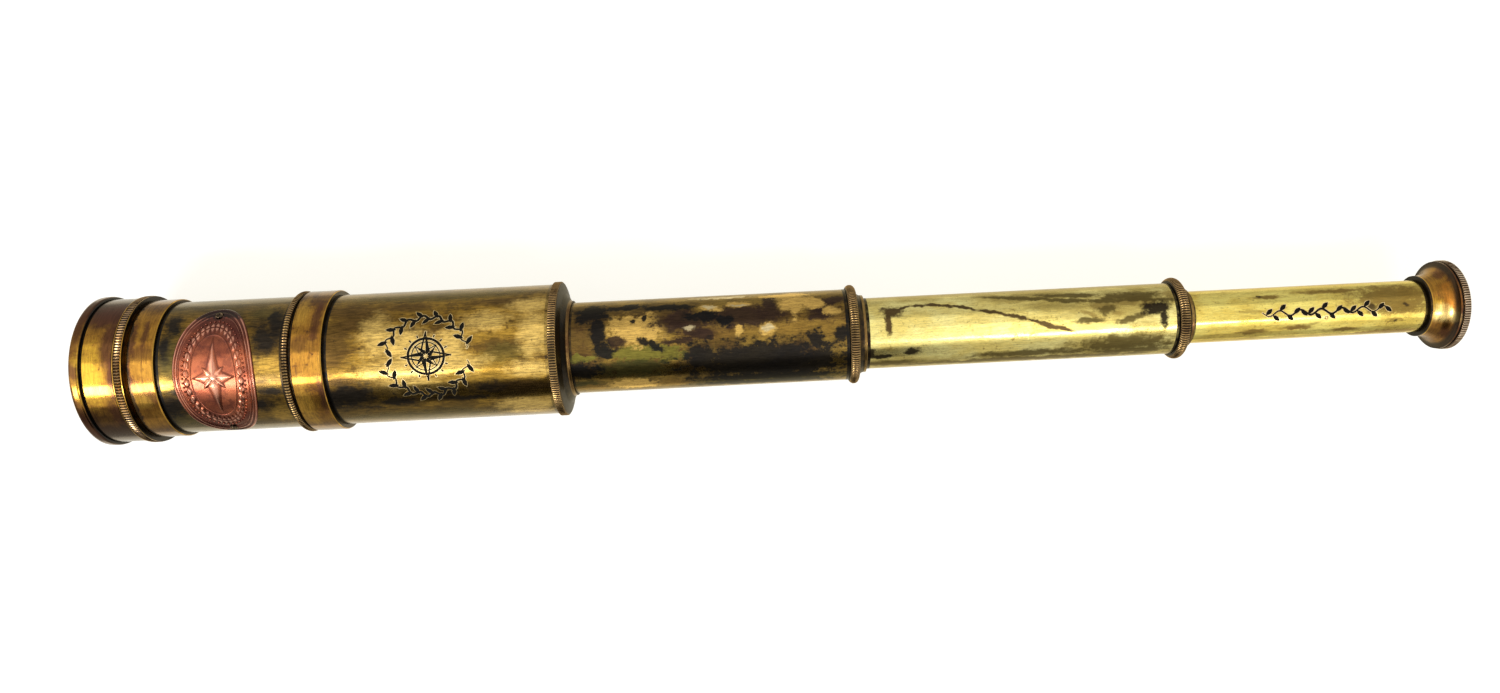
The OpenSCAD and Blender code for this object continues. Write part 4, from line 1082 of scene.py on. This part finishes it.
def even_steps(half_x, half_arc, count):
    """Places at even distances round an ellipse."""
    turns = [2 * pi * i / FINE_STEPS for i in range(FINE_STEPS + 1)]
    path = [Vector((half_x * cos(turn), half_arc * sin(turn))) for turn in turns]
    total = sum((b - a).length for a, b in zip(path, path[1:]))
    places, walked = [], 0.0
    for a, b in zip(path, path[1:]):
        if walked >= total * len(places) / count and len(places) < count:
            places.append(a)
        walked += (b - a).length
    return places


bead_points = bpy.data.meshes.new("bead_points")
bead_points.from_pydata([
    on_tube(BADGE_X + place.x, place.y, PLATE + 0.02)
    for place in even_steps(BADGE_HALF[0] * BEAD_RING, BADGE_HALF[1] * BEAD_RING, BEAD_COUNT)], [], [])
beads = keep("badge_beads", grow(bead_tree(), bead_points, {
    "Bead radius": BEAD_RADIUS * MM, "Material": copper_plate}))
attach(beads, "barrel")

# %% [markdown]
# ## Marks cut into the brass
# The barrel carries a compass rose with a graduated ring in a leafy wreath, and the last draw a
# leafy line. Both are cut and filled with black, and the cutter laid bare a thin bright edge
# beside each line. They are drawn on the flat as thin solids, a tree adds the ring of marks and
# bends the whole drawing round the tube, and only a hair of the black stands proud.

# %% The engraving tree
FILL = 0.12
BLACK_PROUD, BRIGHT_PROUD = 0.02, 0.01
BRIGHT_EDGE = 0.18


def engraving_tree():
    """Adds a ring of marks to a flat drawing and bends both round a tube."""
    sizes = ("Ring radius", "Mark length", "Mark width", "Tube radius", "Centre x", "Centre angle", "Proud")
    tree, given = start_tree("engraving", {"Marks": COUNT, **dict.fromkeys(sizes, SIZE)})
    circle = wire(tree, "GeometryNodeMeshCircle", {}, {
        "Vertices": given["Marks"], "Radius": given["Ring radius"]})
    size = wire(tree, "ShaderNodeCombineXYZ", {}, {
        0: given["Mark length"], 1: given["Mark width"], 2: FILL * MM})
    mark = wire(tree, "GeometryNodeMeshCube", {}, {"Size": size})
    x, arc, height = wire(tree, "GeometryNodeInputPosition", {}, {}).parts()
    heading = wire(tree, "ShaderNodeCombineXYZ", {}, {2: arc.math("ARCTAN2", x)})
    marks = wire(tree, "GeometryNodeInstanceOnPoints", {}, {
        "Points": circle, "Instance": mark, "Rotation": heading})
    real = wire(tree, "GeometryNodeRealizeInstances", {}, {0: marks})
    both = wire(tree, "GeometryNodeJoinGeometry", {}, {0: real})
    tree.links.new(given["Mesh"].socket, both.socket.node.inputs[0])
    radius = height + given["Tube radius"] + given["Proud"] - FILL / 2 * MM
    point = round_x(x + given["Centre x"], radius, arc / given["Tube radius"] + given["Centre angle"])
    bent = wire(tree, "GeometryNodeSetPosition", {}, {"Geometry": both, "Position": point})
    end_tree(tree, bent, given["Material"])
    return tree


engraving = engraving_tree()
print("engraving nodes:", len(engraving.nodes))

# %% Drawing on the flat
def polar(radius, angle):
    """The flat place at a radius and an angle."""
    return radius * cos(angle), radius * sin(angle)


def flat_drawing(name, shapes, step):
    """Thin solids from flat shapes in millimetres, cut across so that they can bend."""
    work = bmesh.new()
    for shape in shapes:
        work.faces.new([work.verts.new((x * MM, y * MM, FILL / 2 * MM)) for x, y in shape])
    tallest = max(abs(y) for shape in shapes for _, y in shape)
    for number in range(int(-tallest / step), int(tallest / step) + 1):
        geometry = work.verts[:] + work.edges[:] + work.faces[:]
        cut = (0, (number + 0.5) * step * MM, 0)
        bmesh.ops.bisect_plane(work, geom=geometry, plane_co=cut, plane_no=(0, 1, 0))
    bmesh.ops.recalc_face_normals(work, faces=work.faces)
    grown = bmesh.ops.extrude_face_region(work, geom=work.faces[:])
    moved = [item for item in grown["geom"] if isinstance(item, bmesh.types.BMVert)]
    bmesh.ops.translate(work, verts=moved, vec=(0, 0, -FILL * MM))
    mesh = bpy.data.meshes.new(name)
    work.to_mesh(mesh)
    work.free()
    return mesh


def stroke(path, width, taper=0.0):
    """A line of the given width along a path, as four-cornered pieces; taper thins its ends."""
    edges = []
    for number, (x, y) in enumerate(path):
        before, after = Vector(path[max(0, number - 1)]), Vector(path[min(len(path) - 1, number + 1)])
        share = number / (len(path) - 1)
        half = width / 2 * (1 - taper * (2 * share - 1) ** 2)
        across = (after - before).orthogonal().normalized() * half
        edges.append(((x + across.x, y + across.y), (x - across.x, y - across.y)))
    return [[a, c, d, b] for (a, b), (c, d) in zip(edges, edges[1:])]


def hoop(radius, width, pieces=72):
    """A round line."""
    return stroke([polar(radius, 2 * pi * i / pieces) for i in range(pieces + 1)], width)


def leaf(x, y, length, width, turn):
    """A pointed oval from its root at x, y."""
    c, s = cos(turn), sin(turn)
    side = [(0.25, 0.36), (0.55, 0.5), (0.82, 0.3)]
    shape = [(0, 0), *side, (1, 0), *((a, -b) for a, b in side[::-1])]
    return [(x + length * a * c - width * b * s, y + length * a * s + width * b * c) for a, b in shape]


def branch(radius, start, end, leaves, size, width):
    """A wavy stem along an arc with a leaf at each bend, inside and outside by turns."""
    steps = leaves * 6
    path = []
    for number in range(steps + 1):
        wave = radius + size * 0.22 * sin(pi * leaves * number / steps)
        path.append(polar(wave, radians(start + (end - start) * number / steps)))
    shapes = stroke(path, width, 0.7)
    sense = 1 if end > start else -1
    for number in range(leaves):
        angle = radians(start + (end - start) * (number + 0.5) / leaves)
        side = 1 if number % 2 == 0 else -1
        turn = angle + sense * (pi / 2 - side * radians(48))
        shapes.append(leaf(*polar(radius, angle), size, size * 0.42, turn))
    return shapes


def rays(count, length, waist, width, first=0.0):
    """A compass rose's rays: one half of each is black, and the other is only outlined."""
    dark, lines = [], []
    for number in range(count):
        angle = first + 2 * pi * number / count
        tip = polar(length, angle)
        dark.append([polar(0.45, angle), tip, polar(waist, angle + pi / count)])
        lines += stroke([polar(waist, angle - pi / count), tip], width)
    return dark + lines


def widened(shapes, reach):
    """The shapes with their outlines moved outwards."""
    wide = []
    for shape in shapes:
        corners = [Vector(corner) for corner in shape]
        after, before = corners[1:] + corners[:1], corners[-1:] + corners[:-1]
        turned = sum(a.x * b.y - a.y * b.x for a, b in zip(corners, after))
        outward = -1 if turned > 0 else 1
        moved = []
        for last, here, coming in zip(before, corners, after):
            sides = (here - last, coming - here)
            first, second = (side.orthogonal().normalized() * outward for side in sides)
            middle = (first + second).normalized()
            moved.append(tuple(here + middle * reach / max(0.5, middle.dot(first))))
        wide.append(moved)
    return wide


def engrave(name, shapes, cut, ring, values):
    """Black marks with the thin bright edge that the cutter leaves beside them."""
    radius, length, width = ring
    made = []
    for label, drawn, spread, proud, material in (
            (name, shapes, 0.0, BLACK_PROUD, engraved_black),
            (name + "_edge", widened(shapes, BRIGHT_EDGE), BRIGHT_EDGE, BRIGHT_PROUD, cut_brass)):
        mesh = grow(engraving, flat_drawing(label, drawn, cut), {
            **values, "Ring radius": radius * MM, "Mark length": (length + 2 * spread) * MM,
            "Mark width": (width + 2 * spread) * MM, "Proud": proud * MM, "Material": material})
        made.append(keep(label, mesh))
    return made


print("drawing ready")

# %% The compass rose on the barrel
rose_shapes = (
    rays(4, 8.2, 2.1, 0.55) + rays(4, 5.0, 1.8, 0.36, pi / 4)
    + hoop(5.8, 0.8) + hoop(4.6, 0.36) + hoop(1.2, 0.6, 24)
    + branch(13.4, 8, 172, 16, 3.6, 0.85) + branch(13.4, -8, -172, 16, 3.6, 0.85))
for inlay, slot in zip(engrave("compass_rose_inlay", rose_shapes, 0.8, (7.0, 0.9, 0.45), {
        "Marks": 16, "Tube radius": 22.1 * MM, "Centre x": 38.5 * MM, "Centre angle": radians(1)}),
        ("black_lacquer", "antique_brass")):
    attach(inlay, "barrel")

# %% The ornament on the last draw
LINE = 0.7
flourish = [(x, -2.2 + 0.9 * sin(x * 0.9)) for x in (-21.5 + 0.43 * i for i in range(101))]
sprigs = [leaf(x, -2.2 + 0.9 * sin(x * 0.9), 3.1, 1.5, radians(42 if i % 2 else -42))
          for i, x in enumerate(-20.4 + 2.35 * n for n in range(18))]
ornament_shapes = stroke(flourish, LINE, 0.6) + sprigs
for inlay, slot in zip(engrave("last_draw_inlay", ornament_shapes, 0.5, (0.5, 0.3, 0.16), {
        "Marks": 12, "Tube radius": 8.9 * MM, "Centre x": 337 * MM, "Centre angle": radians(16)}),
        ("black_lacquer", "pale_brass")):
    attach(inlay, "draw_3")

# %% [markdown]
# ## The pieces that keep their own shape
# Tubes, bands, sleeves, stops and lenses are already right, so each only gets its finish, in the
# slot that its mesh already has.

# %% Finishes for the carried-over pieces
finishes = {
    olive_brass: ["front_tube"],
    antique_brass: ["barrel_tube"],
    stained_brass: ["draw_tube_1"],
    pale_brass: ["draw_tube_2"],
    draw_3_brass: ["draw_tube_3"],
    amber_brass: ["objective_cell", "collar_band"],
    rivet_brass: ["badge_rivets"],
    black_lacquer: ["objective_retaining_ring", "draw_1_light_stop", "erector_light_stop", "field_stop"],
    optical_glass: ["objective_crown_lens", "objective_flint_lens", "erector_front_lens", "erector_rear_lens",
                    "field_lens", "eye_lens"],
    turned_brass: ["barrel_guide_sleeve", "draw_1_stop_ring", "draw_1_guide_sleeve", "draw_2_stop_ring",
                   "draw_2_guide_sleeve", "draw_3_stop_ring", "erector_tube", "erector_retaining_rings",
                   "eyepiece_tube", "field_lens_ring", "eye_lens_ring"],
}
for material, names in finishes.items():
    for name in names:
        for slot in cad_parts[name].material_slots:
            slot.material = material
print("finished nodes:", sum(len(names) for names in finishes.values()))
